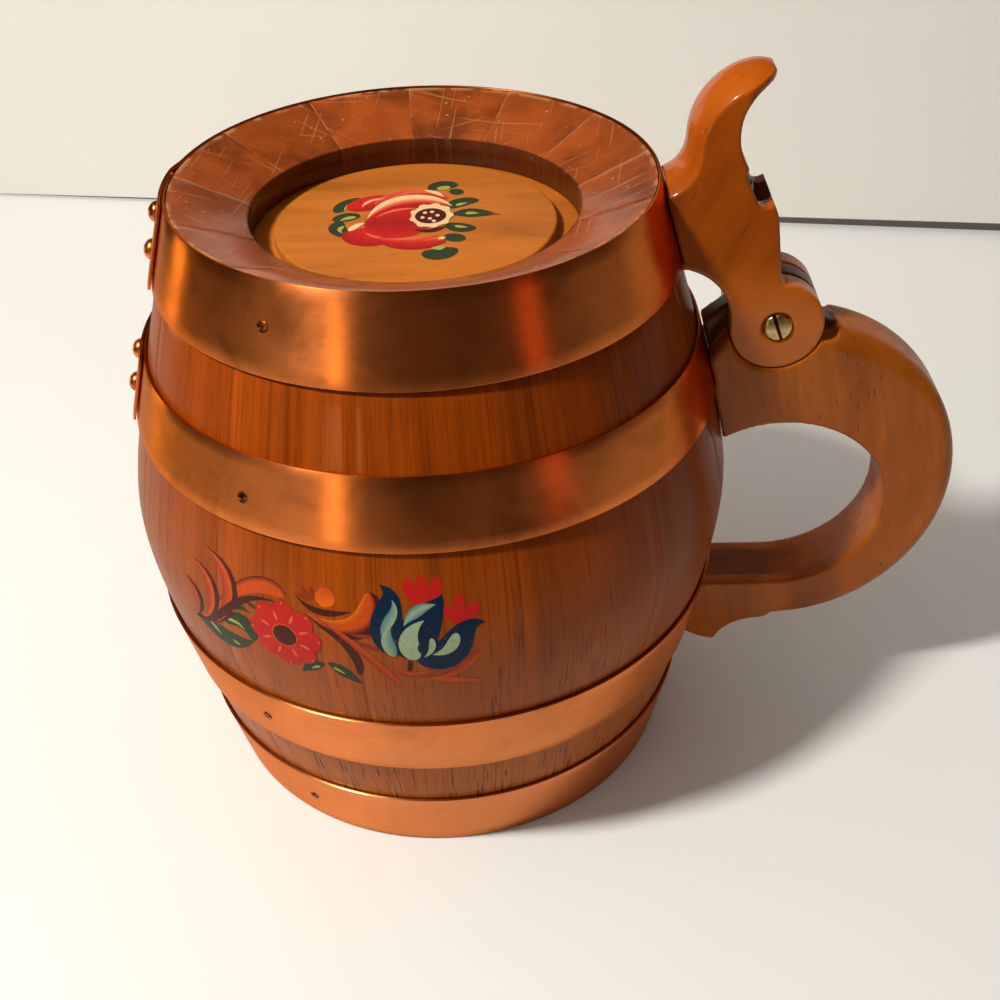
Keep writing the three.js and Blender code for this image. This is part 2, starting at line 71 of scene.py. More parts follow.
# Faces round the fork's slot, the barrel and its bottom board, the lid's board, a screw, and along a hoop
ROUND_STEPS = 96
FINE_STEPS = 128
LID_BOARD_STEPS = 160
SCREW_STEPS = 64
HOOP_STEPS = 240
# A stroke of paint counts as broad above this width, in millimetres
BROAD_STROKE = 3
# Faces along and across a broad and a thin stroke
BROAD_GRID = (20, 8)
THIN_GRID = (14, 4)
# Shift of the grain's pattern from one stave to the next, in metres
STAVE_SHIFT = 0.41
# How much the tone of a painted board wavers
TONE_SPREAD = 0.02
# How far the table reaches behind the askew wall, as a share of its own width
WALL_SWING = 0.2
# Width of the film that the lens is meant for, in millimetres
SENSOR_WIDTH = 36


def low(node):
    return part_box(node)[0].z


def high(node):
    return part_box(node)[1].z


PANEL_TOP = high("lid_head")


# Kinds of settings


def length(name, description, millimetres):
    return bpy.props.FloatProperty(
        name=name, description=description, default=millimetres * MM, unit="LENGTH", precision=4
    )


def angle(name, description, degrees):
    return bpy.props.FloatProperty(
        name=name, description=description, default=math.radians(degrees), subtype="ANGLE"
    )


def colour(name, description, default):
    return bpy.props.FloatVectorProperty(
        name=name, description=description, default=default, size=3, min=0, max=1, subtype="COLOR"
    )


def count(name, description, default):
    return bpy.props.IntProperty(name=name, description=description, default=default, min=1)


def share(name, description, default):
    return bpy.props.FloatProperty(name=name, description=description, default=default, min=0)


def where(name, description, default):
    return bpy.props.FloatVectorProperty(name=name, description=description, default=default, unit="LENGTH")


def heading(name, description, default):
    return bpy.props.FloatVectorProperty(
        name=name, description=description, default=default, subtype="DIRECTION"
    )


class BarrelSizes(bpy.types.PropertyGroup):
    """Sizes of the barrel's wall, which the lid shares"""

    height: length("Height", "Height of the closed barrel", high("lid_stave_01") / MM)
    parting: length("Parting", "Height of the body without its lid", high("body_stave_01") / MM)
    belly_height: length("Belly height", "Height of the widest place", 86)
    belly_radius: length("Belly radius", "Radius at the widest place", 82.6)
    belly_round: length("Belly round", "How softly the belly turns", 4)
    top_slope: share("Top slope", "Taper above the belly", 0.3)
    foot_slope: share("Foot slope", "Taper below the belly", 0.229)
    wall: length("Wall", "Thickness of a stave", 17)
    staves: count("Staves", "Number of staves round the barrel", 13)
    first_seam: angle("First seam", "Direction of the first stave's edge", 122)
    seam: length("Seam", "Width of the joint between two staves", 0.012)
    edge: length("Edge", "Rounding of a stave's edges", 0.035)
    fit: length("Fit", "Clearance between two pieces", 0.3)


class HeadSizes(bpy.types.PropertyGroup):
    """Sizes of the round boards that close the barrel"""

    chime_drop: length("Chime drop", "How far the rim slopes down to the recess", 7.7)
    recess_radius: length("Recess radius", "Radius of the recess in the lid", 41.9)
    lip: length("Lip", "Wood of the lid under its board", 1.9)
    rim: length("Rim", "Thickness of the board's rim", 4.4)
    groove: length("Groove", "How deep the board sits in the staves", 3.3)
    moat: length("Moat", "Width of the low ring round the raised panel", 5.9)
    panel_rise: length("Panel rise", "Height of the raised panel", 2.9)
    panel_edge: length("Panel edge", "Rounding of the raised panel", 0.8)
    bottom: length("Bottom", "Thickness of the bottom board", 11.7)
    rabbet: length("Rabbet", "How deep the bottom board is let into the staves", 4)


class HoopSizes(bpy.types.PropertyGroup):
    """Sizes of the copper hoops and their fasteners"""

    thickness: length("Thickness", "Thickness of the copper", 0.7)
    gap: length("Gap", "Clearance between hoop and wood", 0.35)
    edge: length("Edge", "Rounding of the copper's edges", 0.12)
    free_end: angle("Free end", "Direction of the outer end of the lap", -165)
    lap: angle("Lap", "How far the ends lap over each other", 19)
    ramp: angle("Ramp", "How far before the lap the outer end begins to lift", 7)
    rivet_spread: length("Rivet spread", "Distance between the two rivets of a lap", 10)
    rivet_radius: length("Rivet radius", "Radius of a rivet's head", 2.7)
    rivet_height: length("Rivet height", "Height of a rivet's head", 2)
    rivet_shank: length("Rivet shank", "Radius of a rivet's shank", 1.2)
    nail_radius: length("Nail radius", "Radius of a nail's head", 1.5)
    nail_height: length("Nail height", "Height of a nail's head", 0.4)
    nail_shank: length("Nail shank", "Radius of a nail's shank", 0.7)
    nail_length: length("Nail length", "Length of a nail's shank", 10)


class HandleSizes(bpy.types.PropertyGroup):
    """Sizes of the handle and its hinge"""

    thickness: length("Thickness", "Thickness of the wood", 20)
    rounding: length("Rounding", "Rounding of the grip's outer edges", 4.5)
    hinge_out: length("Hinge out", "Distance of the hinge from the barrel at the parting", 25.73)
    hinge_drop: length("Hinge drop", "Distance of the hinge below the parting", 18.4)
    lobe: length("Lobe", "Radius of the fork's round end", 12.2)
    tongue: length("Tongue", "Thickness of the tongue inside the fork", 6.2)
    pocket_reach: length("Pocket reach", "Room beyond the fork's round end", 4.7)
    reach: length("Reach", "How far the grip stands out from the belly", 64.6)
    width: length("Width", "Width of the grip's ellipse", 94.4)
    top_drop: length("Top drop", "How far the grip's top lies below the hinge", 1.6)
    rise: length("Rise", "How far the grip starts above the foot hoop", 8.4)
    upper_rail: length("Upper rail", "Wood above the finger opening", 28.6)
    lower_rail: length("Lower rail", "Wood below the finger opening", 14.2)
    outer_rail: length("Outer rail", "Wood outside the finger opening", 18.5)
    finger_width: length("Finger width", "Width of the finger opening's ellipse", 61.4)
    tail_reach: length("Tail reach", "How far the tail stands out from the barrel", 12.2)
    tail_drop: length("Tail drop", "How far the tail hangs below the grip", 8.5)
    grain: length("Grain of the mesh", "Size of the mesh's faces", 0.6)


class LeverSizes(bpy.types.PropertyGroup):
    """Sizes of the thumb lever"""

    rise: length("Rise", "Height above the barrel", 26.9)
    lip: length("Lip", "Radius of the tip's edge", 1.3)
    droop: length("Droop", "How far the tip hangs below the lever's highest place", 0.9)
    thumb_crown: length("Thumb crown", "How far the side under the thumb drops at its edges", 3)
    seat_out: length("Seat out", "Distance of the screw's seat from the rim", 21.1)
    seat_drop: length("Seat drop", "Distance of the screw's seat below the rim", 3.8)
    seat_tilt: angle("Seat tilt", "How far the screw points up", 25)
    seat_radius: length("Seat radius", "Radius of the bore round the screw's head", 7)
    notch_floor: length("Notch floor", "Depth of the notch's floor above the seat", 1.85)
    notch_above: length("Notch above", "Reach of the notch above the screw", 6.6)
    notch_below: length("Notch below", "Reach of the notch below the screw", 5)
    notch_corner: length("Notch corner", "Radius of the notch's corners", 2.6)
    tip_out: length("Tip out", "Distance of the tip's curve from the rim", 17.3)
    tip_reach: length("Tip reach", "Length of the tip's curve", 9.9)
    grain: length("Grain of the mesh", "Size of the mesh's faces", 0.42)


class ScrewSizes(bpy.types.PropertyGroup):
    """Sizes of the screws"""

    head: length("Head", "Radius of a countersunk head", 3.75)
    head_height: length("Head height", "Height of the countersunk part", 2.2)
    dome: length("Dome", "How far a head is domed", 1)
    slot: length("Slot", "Width of the slot", 0.9)
    slot_depth: length("Slot depth", "Depth of the slot", 1.1)
    slot_turn: angle("Slot turn", "Direction of the hinge screw's slot", 20)
    shank: length("Shank", "Radius of the shank", 2)
    lid_head: length("Lid screw head", "Radius of the lid screw's head", 4)
    lid_head_height: length("Lid screw head height", "Height of the lid screw's head", 2.6)
    hinge_length: length("Hinge screw length", "Length of the hinge screw", 16.5)
    lid_length: length("Lid screw length", "Length of the lid screw", 31.5)
    handle_length: length("Handle screw length", "Length of a handle screw", 33)


class Colours(bpy.types.PropertyGroup):
    """Colours of the woods and metals"""

    body_wood: colour("Body wood", "The body's staves", (0.32, 0.052, 0.001))
    # Painted reflection of the pale table, laid on the staves towards the foot
    table_sheen: colour("Bleached", "The staves' wood towards the foot", (0.49, 0.135, 0.016))
    rim_wood: colour("Rim wood", "The lid's staves", (0.30, 0.056, 0.006))
    pale_board: colour("Pale board", "The round boards", (0.52, 0.145, 0.014))
    handle_wood: colour("Handle wood", "The handle", (0.46, 0.108, 0.005))
    lever_wood: colour("Lever wood", "The thumb lever", (0.40, 0.075, 0.001))
    # Also the colour of the painted shade in the lever's screw bore and the screws' slots
    pore_and_shade: colour("Pores", "The wood's pores", (0.05, 0.012, 0.004))
    worn: colour("Worn", "Scratches, chips and glue lines in the varnish", (0.62, 0.34, 0.14))
    copper: colour("Copper", "The hoops", (0.81, 0.225, 0.055))
    copper_edge: colour("Copper edge", "Colour of copper seen along its surface", (0.95, 0.6, 0.42))
    tarnish: colour("Tarnish", "Dark patches on the copper", (0.36, 0.09, 0.025))
    # Partly dust, partly a painted reflection of the pale table, on the copper towards the foot
    dust_and_sheen: colour("Dusty copper", "The copper towards the foot", (0.67, 0.255, 0.115))
    brass: colour("Brass", "The hinge screw", (0.62, 0.46, 0.20))
    steel: colour("Steel", "The lid screw", (0.16, 0.12, 0.10))
    table: colour("Table", "The table top", (0.86, 0.865, 0.83))
    wall: colour("Wall", "The wall behind the table", (0.86, 0.84, 0.79))
    dusk: colour("Dusk", "The light from all round", (1, 0.93, 0.86))
    gap: colour("Gap", "Shadow under the wall", (0.10, 0.095, 0.085))
    room: colour("Room", "Tint of the dark room that the copper mirrors", (1, 0.62, 0.4))


class PaintColours(bpy.types.PropertyGroup):
    """Colours of the painted flowers"""

    red: colour("Red", "Petals", (0.56, 0.018, 0.012))
    crimson: colour("Crimson", "Petals in the shade", (0.36, 0.010, 0.012))
    coral: colour("Coral", "Lights on the petals", (0.76, 0.12, 0.05))
    orange: colour("Orange", "Scrolls", (0.60, 0.075, 0.008))
    amber: colour("Amber", "Lights on the scrolls", (0.82, 0.15, 0.006))
    brown: colour("Brown", "Outlines and stems", (0.075, 0.014, 0.010))
    russet: colour("Russet", "Thin stems", (0.30, 0.035, 0.012))
    green: colour("Green", "Leaves", (0.030, 0.050, 0.022))
    moss: colour("Moss", "Lights on the leaves", (0.36, 0.36, 0.08))
    blue: colour("Blue", "Tulip", (0.006, 0.022, 0.055))
    teal: colour("Teal", "Inside of the tulip", (0.07, 0.22, 0.24))
    mint: colour("Mint", "Lights in the tulip", (0.36, 0.46, 0.27))
    cream: colour("Cream", "Edge and dots of the rose's heart", (0.84, 0.56, 0.27))


class PaintSizes(bpy.types.PropertyGroup):
    """Place and thickness of the painted flowers"""

    coat: length("Coat", "Thickness of one coat of paint", 0.012)
    lift: length("Lift", "How far the first coat stands off the wood", 0.012)
    front_azimuth: angle("Front azimuth", "Direction of the red flower on the barrel", -113)
    front_height: length("Front height", "Height of the red flower on the barrel", 88)


class StageSizes(bpy.types.PropertyGroup):
    """Sizes of the table and places and strengths of the lamps"""

    table_left: length("Table left", "Reach of the table to the left of the mug", 470)
    table_right: length("Table right", "Reach of the table to the right of the mug", 1200)
    table_front: length("Table front", "Reach of the table in front of the mug", 260)
    wall_distance: length("Wall distance", "Distance of the wall behind the mug", 348)
    wall_height: length("Wall height", "Height of the wall behind the mug", 280)
    wall_turn: angle("Wall turn", "How far the wall stands askew", -8)
    wall_lean: angle("Wall lean", "How far the wall's lower edge rises to the right", 0.4)
    wall_gap: length("Wall gap", "Gap under the wall", 3)
    key_from: heading("Key from", "Direction that the key lamp shines from", (-0.48, -0.31, 0.82))
    key_reach: length("Key reach", "Distance of the key lamp", 950)
    key_size: length("Key size", "Width of the key lamp", 105)
    key_power: share("Key power", "Power of the key lamp in watts", 9.2)
    key_tint: colour("Key tint", "Colour of the key lamp", (1, 0.97, 0.91))
    gleam_place: where("Gleam place", "Place of the lamp that shows as a streak", (-0.35, -0.62, 0.1))
    gleam_size: length("Gleam size", "Width of the lamp that shows as a streak", 80)
    gleam_power: share("Gleam power", "Power of the lamp that shows as a streak, in watts", 0.22)
    gleam_tint: colour("Gleam tint", "Colour of the lamp that shows as a streak", (1, 0.74, 0.32))
    window_place: where("Window place", "Place of the lamp that shows at the left edge", (-0.6, 0.24, 0.08))
    window_size: length("Window size", "Width of the lamp that shows at the left edge", 120)
    window_power: share("Window power", "Power of the lamp that shows at the left edge, in watts", 0.16)
    window_tint: colour("Window tint", "Colour of the lamp that shows at the left edge", (1, 0.8, 0.42))
    ember_place: where("Ember place", "Place of the weak warm lamp", (0.49, -0.46, 0.17))
    ember_size: length("Ember size", "Width of the weak warm lamp", 130)
    ember_power: share("Ember power", "Power of the weak warm lamp in watts", 0.07)
    ember_tint: colour("Ember tint", "Colour of the weak warm lamp", (1, 0.24, 0.05))
    ambient: share("Ambient", "Strength of the light from all round", 0.26)
    lean: share("Lean", "How much more of it comes from the left", 0.8)
    horizon: share("Horizon", "Share of the light from all round that comes from the sides", 0.45)
    zenith: share("Zenith", "Share of the light from all round that comes from above", 1.5)
    mirrored: share("Mirrored", "Brightness of the room in what shines", 0.042)


class CameraSizes(bpy.types.PropertyGroup):
    """Place and lens of the camera"""

    place: where("Place", "Where the camera stands", (0.02704, -0.30905, 0.30478))
    pitch: angle("Pitch", "How far the camera looks down", 37.217)
    yaw: angle("Yaw", "How far the camera looks to the right", -1.527)
    roll: angle("Roll", "How far the camera leans", -2.001)
    lens: bpy.props.FloatProperty(name="Lens", description="Focal length in millimetres", default=47.374)


SETTINGS = {
    "mug_barrel": BarrelSizes,
    "mug_heads": HeadSizes,
    "mug_hoops": HoopSizes,
    "mug_handle": HandleSizes,
    "mug_lever": LeverSizes,
    "mug_screws": ScrewSizes,
    "mug_colours": Colours,
    "mug_paints": PaintColours,
    "mug_painting": PaintSizes,
    "mug_stage": StageSizes,
    "mug_camera": CameraSizes,
}


def settings():
    """The scene, which holds the groups of sizes and colours"""
    return bpy.context.scene


# Modelling by hand


def deselect():
    bpy.ops.object.select_all(action="DESELECT")


def focus(piece):
    deselect()
    piece.select_set(True)
    bpy.context.view_layer.objects.active = piece


def give_name(piece, name):
    piece.name = name
    piece.data.name = name


def begin(add, name, **values):
    """Adds a primitive with nothing else selected"""
    deselect()
    add(**values)
    piece = bpy.context.object
    give_name(piece, name)
    return piece


@contextmanager
def editing(piece):
    focus(piece)
    bpy.ops.object.mode_set(mode="EDIT")
    yield
    bpy.ops.object.mode_set(mode="OBJECT")


def pick(kind, test):
    """Selects the vertices, edges or faces that pass a test"""
    piece = bpy.context.object
    bpy.ops.mesh.select_mode(type={"verts": "VERT", "edges": "EDGE", "faces": "FACE"}[kind])
    bpy.ops.mesh.select_all(action="DESELECT")
    mesh = bmesh.from_edit_mesh(piece.data)
    for element in getattr(mesh, kind):
        if test(element):
            element.select_set(True)
    bmesh.update_edit_mesh(piece.data)


def facing(direction):
    return lambda face: face.normal.dot(direction) > NEARLY_SQUARE


def select_everything():
    bpy.ops.mesh.select_all(action="SELECT")


def extrude(way):
    bpy.ops.mesh.extrude_region_move(TRANSFORM_OT_translate={"value": way})


def tidy_normals():
    select_everything()
    bpy.ops.mesh.remove_doubles(threshold=MERGE_DISTANCE)
    bpy.ops.mesh.normals_make_consistent(inside=False)


def draw(name, points):
    """Draws a line point by point, from a plane whose corners are merged to one"""
    piece = begin(bpy.ops.mesh.primitive_plane_add, name, size=MM)
    with editing(piece):
        bpy.ops.mesh.select_mode(type="VERT")
        bpy.ops.mesh.merge(type="CENTER")
        bpy.ops.transform.translate(value=points[0])
        for before, after in zip(points, points[1:]):
            extrude(after - before)
    return piece


def draw_face(name, points):
    """Draws a closed outline and fills it"""
    piece = draw(name, points)
    with editing(piece):
        select_everything()
        bpy.ops.mesh.edge_face_add()
    return piece


def spin(piece, turn, steps):
    with editing(piece):
        select_everything()
        bpy.ops.mesh.spin(steps=steps, angle=turn, center=(0, 0, 0), axis=UP)
        tidy_normals()


def turned(name, outline, steps):
    """A round piece from an outline of radii and heights"""
    piece = draw(name, [Vector((radius, 0, z)) for radius, z in outline])
    spin(piece, WHOLE_TURN, steps)
    return piece


def plate(name, outline, thickness, middle=0, profile=((0, 0),)):
    """A piece cut from a board of that thickness, with its edges worked to a profile of insets and rises"""
    half = thickness / 2 - profile[-1][1]
    piece = draw_face(name, [Vector((x, middle + half, z)) for x, z in outline])
    with editing(piece):
        select_everything()
        extrude(Vector((0, -2 * half, 0)))
        tidy_normals()
        for side in (FRONT, -FRONT):
            pick("faces", facing(side))
            for before, after in zip(profile, profile[1:]):
                bpy.ops.mesh.inset(thickness=after[0] - before[0], depth=after[1] - before[1])
    return piece


def quarter_round(radius, steps=6):
    turns = stations(0, QUARTER_TURN, steps)
    return [(radius * (1 - math.cos(turn)), radius * math.sin(turn)) for turn in turns]


def crown(half, drop, steps=8):
    """A low arch across a board that is half as wide, which drops that far at its edges"""
    radius = (half * half + drop * drop) / (2 * drop)
    step = half / steps
    return [(radius - math.sqrt(radius * radius - y * y), y - step) for y in stations(step, half, steps)]


def finish_modifier(piece, kind, **values):
    """Adds a modifier, sets it and applies it"""
    focus(piece)
    modifier = piece.modifiers.new(kind.lower(), kind)
    for key, value in values.items():
        setattr(modifier, key, value)
    bpy.ops.object.modifier_apply(modifier=modifier.name)


def bevel(piece, width, segments=3, limit=35):
    finish_modifier(
        piece,
        "BEVEL",
        width=width,
        segments=segments,
        limit_method="ANGLE",
        angle_limit=math.radians(limit),
        use_clamp_overlap=True,
    )


def combine(piece, operation, *tools):
    """Cuts, joins or trims a piece with others, which are used up"""
    for tool in tools:
        finish_modifier(piece, "BOOLEAN", operation=operation, object=tool, solver="MANIFOLD")
        bpy.data.objects.remove(tool)


def soften(piece, grain, rounds):
    """Wears a piece's edges round"""
    finish_modifier(piece, "REMESH", mode="VOXEL", voxel_size=grain, adaptivity=0)
    finish_modifier(piece, "SMOOTH", factor=0.5, iterations=rounds)


def smooth(piece, degrees=35):
    focus(piece)
    bpy.ops.object.shade_smooth_by_angle(angle=math.radians(degrees))


def set_down(piece, matrix):
    """Puts a piece in its place and leaves its object at the origin"""
    focus(piece)
    piece.matrix_world = matrix
    bpy.ops.object.transform_apply(location=True, rotation=True, scale=True)


def twin(piece, name, matrix):
    """Copies a piece with its own mesh"""
    copy = piece.copy()
    copy.data = piece.data.copy()
    give_name(copy, name)
    bpy.context.scene.collection.objects.link(copy)
    set_down(copy, matrix)
    return copy


def hand_over(piece, finish, body, slot, *nodes):
    """Gives a piece its finish and puts it on its body, in place of the model's own nodes"""
    piece.data.materials.clear()
    piece.data.materials.append(finish())
    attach(piece, body)
    if nodes:
        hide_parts(*nodes)


# Lines of the barrel


def stations(start, end, steps):
    return [start + (end - start) * step / steps for step in range(steps + 1)]


def wood_radius(z):
    barrel = settings().mug_barrel
    rise = z - barrel.belly_height
    slope = barrel.top_slope if rise > 0 else barrel.foot_slope
    return barrel.belly_radius + barrel.belly_round - math.hypot(barrel.belly_round, slope * rise)


def hoop_seat(node):
    """Outer radius of a hoop at its lower and upper edge"""
    hoops = settings().mug_hoops
    bottom, top = low(node), high(node)
    edges = [wood_radius(bottom), wood_radius(top)]
    bulge = max(
        wood_radius(bottom + (top - bottom) * part) - (edges[0] + (edges[1] - edges[0]) * part)
        for part in stations(0, 1, steps=12)
    )
    lift = bulge + hoops.gap + hoops.thickness
    return edges[0] + lift, edges[1] + lift


def hoop_slope(node):
    """How much a hoop's radius grows with its height"""
    lower, upper = hoop_seat(node)
    return (upper - lower) / (high(node) - low(node))


def aim(place, direction, roll=0):
    """Puts what was made along +Z at a place, along a direction"""
    turn = UP.rotation_difference(Vector(direction)).to_matrix().to_4x4()
    return Matrix.Translation(place) @ turn @ Matrix.Rotation(roll, 4, "Z")


def on_hoop(node, azimuth, z, lift):
    """Place on a hoop's outer face, with +Z square to it"""
    slope = hoop_slope(node)
    radius = hoop_seat(node)[0] + slope * (z - low(node)) + lift
    out = Vector((math.cos(azimuth), math.sin(azimuth), 0))
    return aim(out * radius + UP * z, (out - UP * slope).normalized())


def ellipse_in(left, right, bottom, top):
    return (left + right) / 2, (bottom + top) / 2, (right - left) / 2, (top - bottom) / 2


def arc(centre_x, centre_z, half_width, half_height, start, end, steps):
    """Points of an ellipse from one angle to another, in degrees"""
    points = []
    for turn in stations(math.radians(start), math.radians(end), steps):
        points.append((centre_x + half_width * math.cos(turn), centre_z + half_height * math.sin(turn)))
    return points


def along(corners, t):
    """Place on a curve that its corners pull, from 0 at its start to 1 at its end"""
    line = [Vector(corner) for corner in corners]
    while len(line) > 1:
        line = [a.lerp(b, t) for a, b in zip(line, line[1:])]
    return line[0]


def bend(*corners, steps=10):
    """Points of a curve that its corners pull, without the first"""
    return [tuple(along(corners, t)) for t in stations(0, 1, steps)[1:]]


# Pieces


class StaveSet(bpy.types.Operator):
    """Shape, copy and turn the staves of the body and of the lid"""

    bl_idname = "mug.staves"
    bl_label = "Staves"

    def execute(self, context):
        make_staves("body", body_stave_line(), 12, body_wood, "mug", "body_wood")
        make_staves("lid", lid_stave_line(), 14, rim_wood, "lid", "rim_wood")
        return {"FINISHED"}


def body_stave_line():
    barrel, heads = settings().mug_barrel, settings().mug_heads
    shelf = heads.bottom + barrel.fit
    let_in = wood_radius(shelf) - barrel.wall + heads.rabbet
    outer = [(wood_radius(z), z) for z in stations(0, barrel.parting, steps=40)]
    inner = [(wood_radius(z) - barrel.wall, z) for z in stations(barrel.parting, shelf, steps=20)]
    return [*outer, *inner, (let_in, shelf), (let_in, 0)]


def lid_stave_line():
    barrel, heads = settings().mug_barrel, settings().mug_heads
    bottom = low("lid_stave_01")
    board_low = bottom + heads.lip - barrel.fit
    board_high = bottom + heads.lip + heads.rim + barrel.fit
    deep = heads.recess_radius + heads.groove
    return [
        *[(wood_radius(z), z) for z in stations(bottom, barrel.height, steps=6)],
        (heads.recess_radius, barrel.height - heads.chime_drop),
        (heads.recess_radius, board_high),
        (deep, board_high),
        (deep, board_low),
        (heads.recess_radius, board_low),
        (heads.recess_radius, bottom),
    ]


def make_staves(kind, line, steps, finish, body, slot):
    barrel = settings().mug_barrel
    pitch = WHOLE_TURN / barrel.staves
    gap = barrel.seam / barrel.belly_radius
    first = draw_face(f"{kind}_stave", [Vector((radius, 0, z)) for radius, z in line])
    spin(first, pitch - gap, steps)
    bevel(first, barrel.edge, segments=2, limit=30)
    smooth(first, degrees=30)
    for number in range(barrel.staves):
        start = barrel.first_seam + number * pitch + gap / 2
        node = f"{kind}_stave_{number + 1:02d}"
        piece = twin(first, f"{node}_turned", Matrix.Rotation(start, 4, "Z"))
        hand_over(piece, finish, body, slot, node)
    bpy.data.objects.remove(first)


def make_board(name, steps, radius, thickness, bottom):
    """A round board that lies flat"""
    return begin(
        bpy.ops.mesh.primitive_cylinder_add,
        name,
        vertices=steps,
        radius=radius,
        depth=thickness,
        location=(0, 0, bottom + thickness / 2),
    )


def fit_board(piece, body, node):
    set_down(piece, piece.matrix_world)
    smooth(piece)
    hand_over(piece, pale_board, body, "pale_board", node)


class LidBoard(bpy.types.Operator):
    """Turn the lid's board with its raised panel"""

    bl_idname = "mug.lid_board"
    bl_label = "Lid board"

    def execute(self, context):
        barrel, heads = settings().mug_barrel, settings().mug_heads
        radius = heads.recess_radius + heads.groove - barrel.fit
        piece = make_board("lid_board", LID_BOARD_STEPS, radius, heads.rim, low("lid_head"))
        with editing(piece):
            pick("faces", facing(UP))
            bpy.ops.mesh.inset(thickness=radius - heads.recess_radius + heads.moat)
            extrude(UP * heads.panel_rise)
        bevel(piece, heads.panel_edge, segments=4)
        fit_board(piece, "lid", "lid_head")
        return {"FINISHED"}


class BottomBoard(bpy.types.Operator):
    """Turn the board that closes the mug's foot"""

    bl_idname = "mug.bottom_board"
    bl_label = "Bottom board"

    def execute(self, context):
        heads = settings().mug_heads
        piece = make_board("bottom_board", FINE_STEPS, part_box("bottom_head")[1].x, heads.bottom, 0)
        with editing(piece):
            pick("faces", facing(-UP))
            bpy.ops.mesh.inset(thickness=heads.rabbet)
        bevel(piece, settings().mug_barrel.fit)
        fit_board(piece, "mug", "bottom_head")
        return {"FINISHED"}


HOOP_BODIES = {"lid": "lid", "upper": "mug", "lower": "mug", "foot": "mug"}


class Hoops(bpy.types.Operator):
    """Bend the four copper hoops and lap their ends"""

    bl_idname = "mug.hoops"
    bl_label = "Hoops"

    def execute(self, context):
        for kind, body in HOOP_BODIES.items():
            piece = make_hoop(f"{kind}_hoop")
            hand_over(piece, copper, body, "copper", f"{kind}_hoop")
        return {"FINISHED"}


def make_hoop(node):
    hoops = settings().mug_hoops
    lower, upper = hoop_seat(node)
    bottom, top = low(node), high(node)
    half = hoops.thickness / 2
    line = [
        Vector((lower + (upper - lower) * part - half, 0, bottom + (top - bottom) * part))
        for part in stations(0, 1, steps=6)
    ]
    sweep = WHOLE_TURN + hoops.lap
    piece = draw(f"{node}_bent", line)
    with editing(piece):
        select_everything()
        bpy.ops.mesh.spin(steps=HOOP_STEPS, angle=-sweep, center=(0, 0, 0), axis=UP, use_auto_merge=False)
        lift_lap(len(line), sweep)
    with editing(piece):
        select_everything()
        bpy.ops.mesh.normals_make_consistent(inside=False)
    finish_modifier(piece, "SOLIDIFY", thickness=hoops.thickness, offset=0, use_even_offset=True)
    bevel(piece, hoops.edge, segments=2, limit=60)
    set_down(piece, Matrix.Rotation(hoops.free_end - hoops.lap, 4, "Z"))
    smooth(piece)
    return piece


def lap_lift():
    """How far the outer end of a hoop stands off the inner one"""
    return settings().mug_hoops.thickness + settings().mug_barrel.fit


def lift_lap(width, sweep):
    """Moves the last columns of a spun strip outwards, over its own beginning"""
    ramp = settings().mug_hoops.ramp
    lifted_from = WHOLE_TURN - math.radians(1)
    for column in range(HOOP_STEPS + 1):
        turn = sweep * column / HOOP_STEPS
        part = min(max((turn - lifted_from + ramp) / ramp, 0), 1)
        if part > 0:
            rise = lap_lift() * part * part * (3 - 2 * part)
            pick("verts", lambda vertex: column * width <= vertex.index < (column + 1) * width)
            bpy.ops.transform.translate(value=Vector((math.cos(turn), math.sin(turn), 0)) * rise)


class Rivets(bpy.types.Operator):
    """Head the two rivets of each lap"""

    bl_idname = "mug.rivets"
    bl_label = "Rivets"

    def execute(self, context):
        hoops = settings().mug_hoops
        depth = lap_lift() + hoops.thickness
        first = make_stud("rivet", hoops.rivet_radius, hoops.rivet_height, hoops.rivet_shank, depth)
        azimuth = hoops.free_end - hoops.lap / 2
        for kind, body in HOOP_BODIES.items():
            node = f"{kind}_hoop"
            middle = (low(node) + high(node)) / 2
            for end, side in (("top", 1), ("bottom", -1)):
                place = on_hoop(node, azimuth, middle + side * hoops.rivet_spread / 2, lap_lift())
                piece = twin(first, f"{node}_rivet_{end}_headed", place)
                hand_over(piece, stud_copper, body, "copper", f"{node}_rivet_{end}")
        bpy.data.objects.remove(first)
        return {"FINISHED"}


def make_stud(name, radius, height, shank, depth):
    """A domed head on a shank, made along +Z with its seat at 0"""
    piece = begin(bpy.ops.mesh.primitive_uv_sphere_add, name, segments=36, ring_count=24, radius=radius)
    with editing(piece):
        select_everything()
        bpy.ops.mesh.bisect(plane_co=(0, 0, 0), plane_no=UP, use_fill=True, clear_inner=True)
        select_everything()
        bpy.ops.transform.resize(value=(1, 1, height / radius), center_override=(0, 0, 0))
        pick("faces", facing(-UP))
        bpy.ops.mesh.inset(thickness=radius - shank)
        extrude(-UP * depth)
    bevel(piece, height / 12, segments=2, limit=40)
    smooth(piece)
    return piece


class Nails(bpy.types.Operator):
    """Drive a small nail into the front of each hoop"""

    bl_idname = "mug.nails"
    bl_label = "Nails"

    def execute(self, context):
        hoops = settings().mug_hoops
        first = make_stud("nail", hoops.nail_radius, hoops.nail_height, hoops.nail_shank, hoops.nail_length)
        for kind, body in HOOP_BODIES.items():
            node = f"{kind}_hoop_nail"
            azimuth, z = nail_seat(node)
            place = on_hoop(f"{kind}_hoop", azimuth, z, 0)
            piece = twin(first, f"{node}_driven", place)
            hand_over(piece, dark_copper, body, "copper", node)
        bpy.data.objects.remove(first)
        return {"FINISHED"}


def nail_seat(node):
    """Azimuth and height at which a nail meets its hoop"""
    corner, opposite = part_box(node)
    middle = (corner + opposite) / 2
    slope = hoop_slope(node.removesuffix("_nail"))
    return math.atan2(middle.y, middle.x), middle.z - slope * settings().mug_hoops.nail_length / 2


def hinge_place():
    barrel, handle = settings().mug_barrel, settings().mug_handle
    return wood_radius(barrel.parting) + handle.hinge_out, barrel.parting - handle.hinge_drop


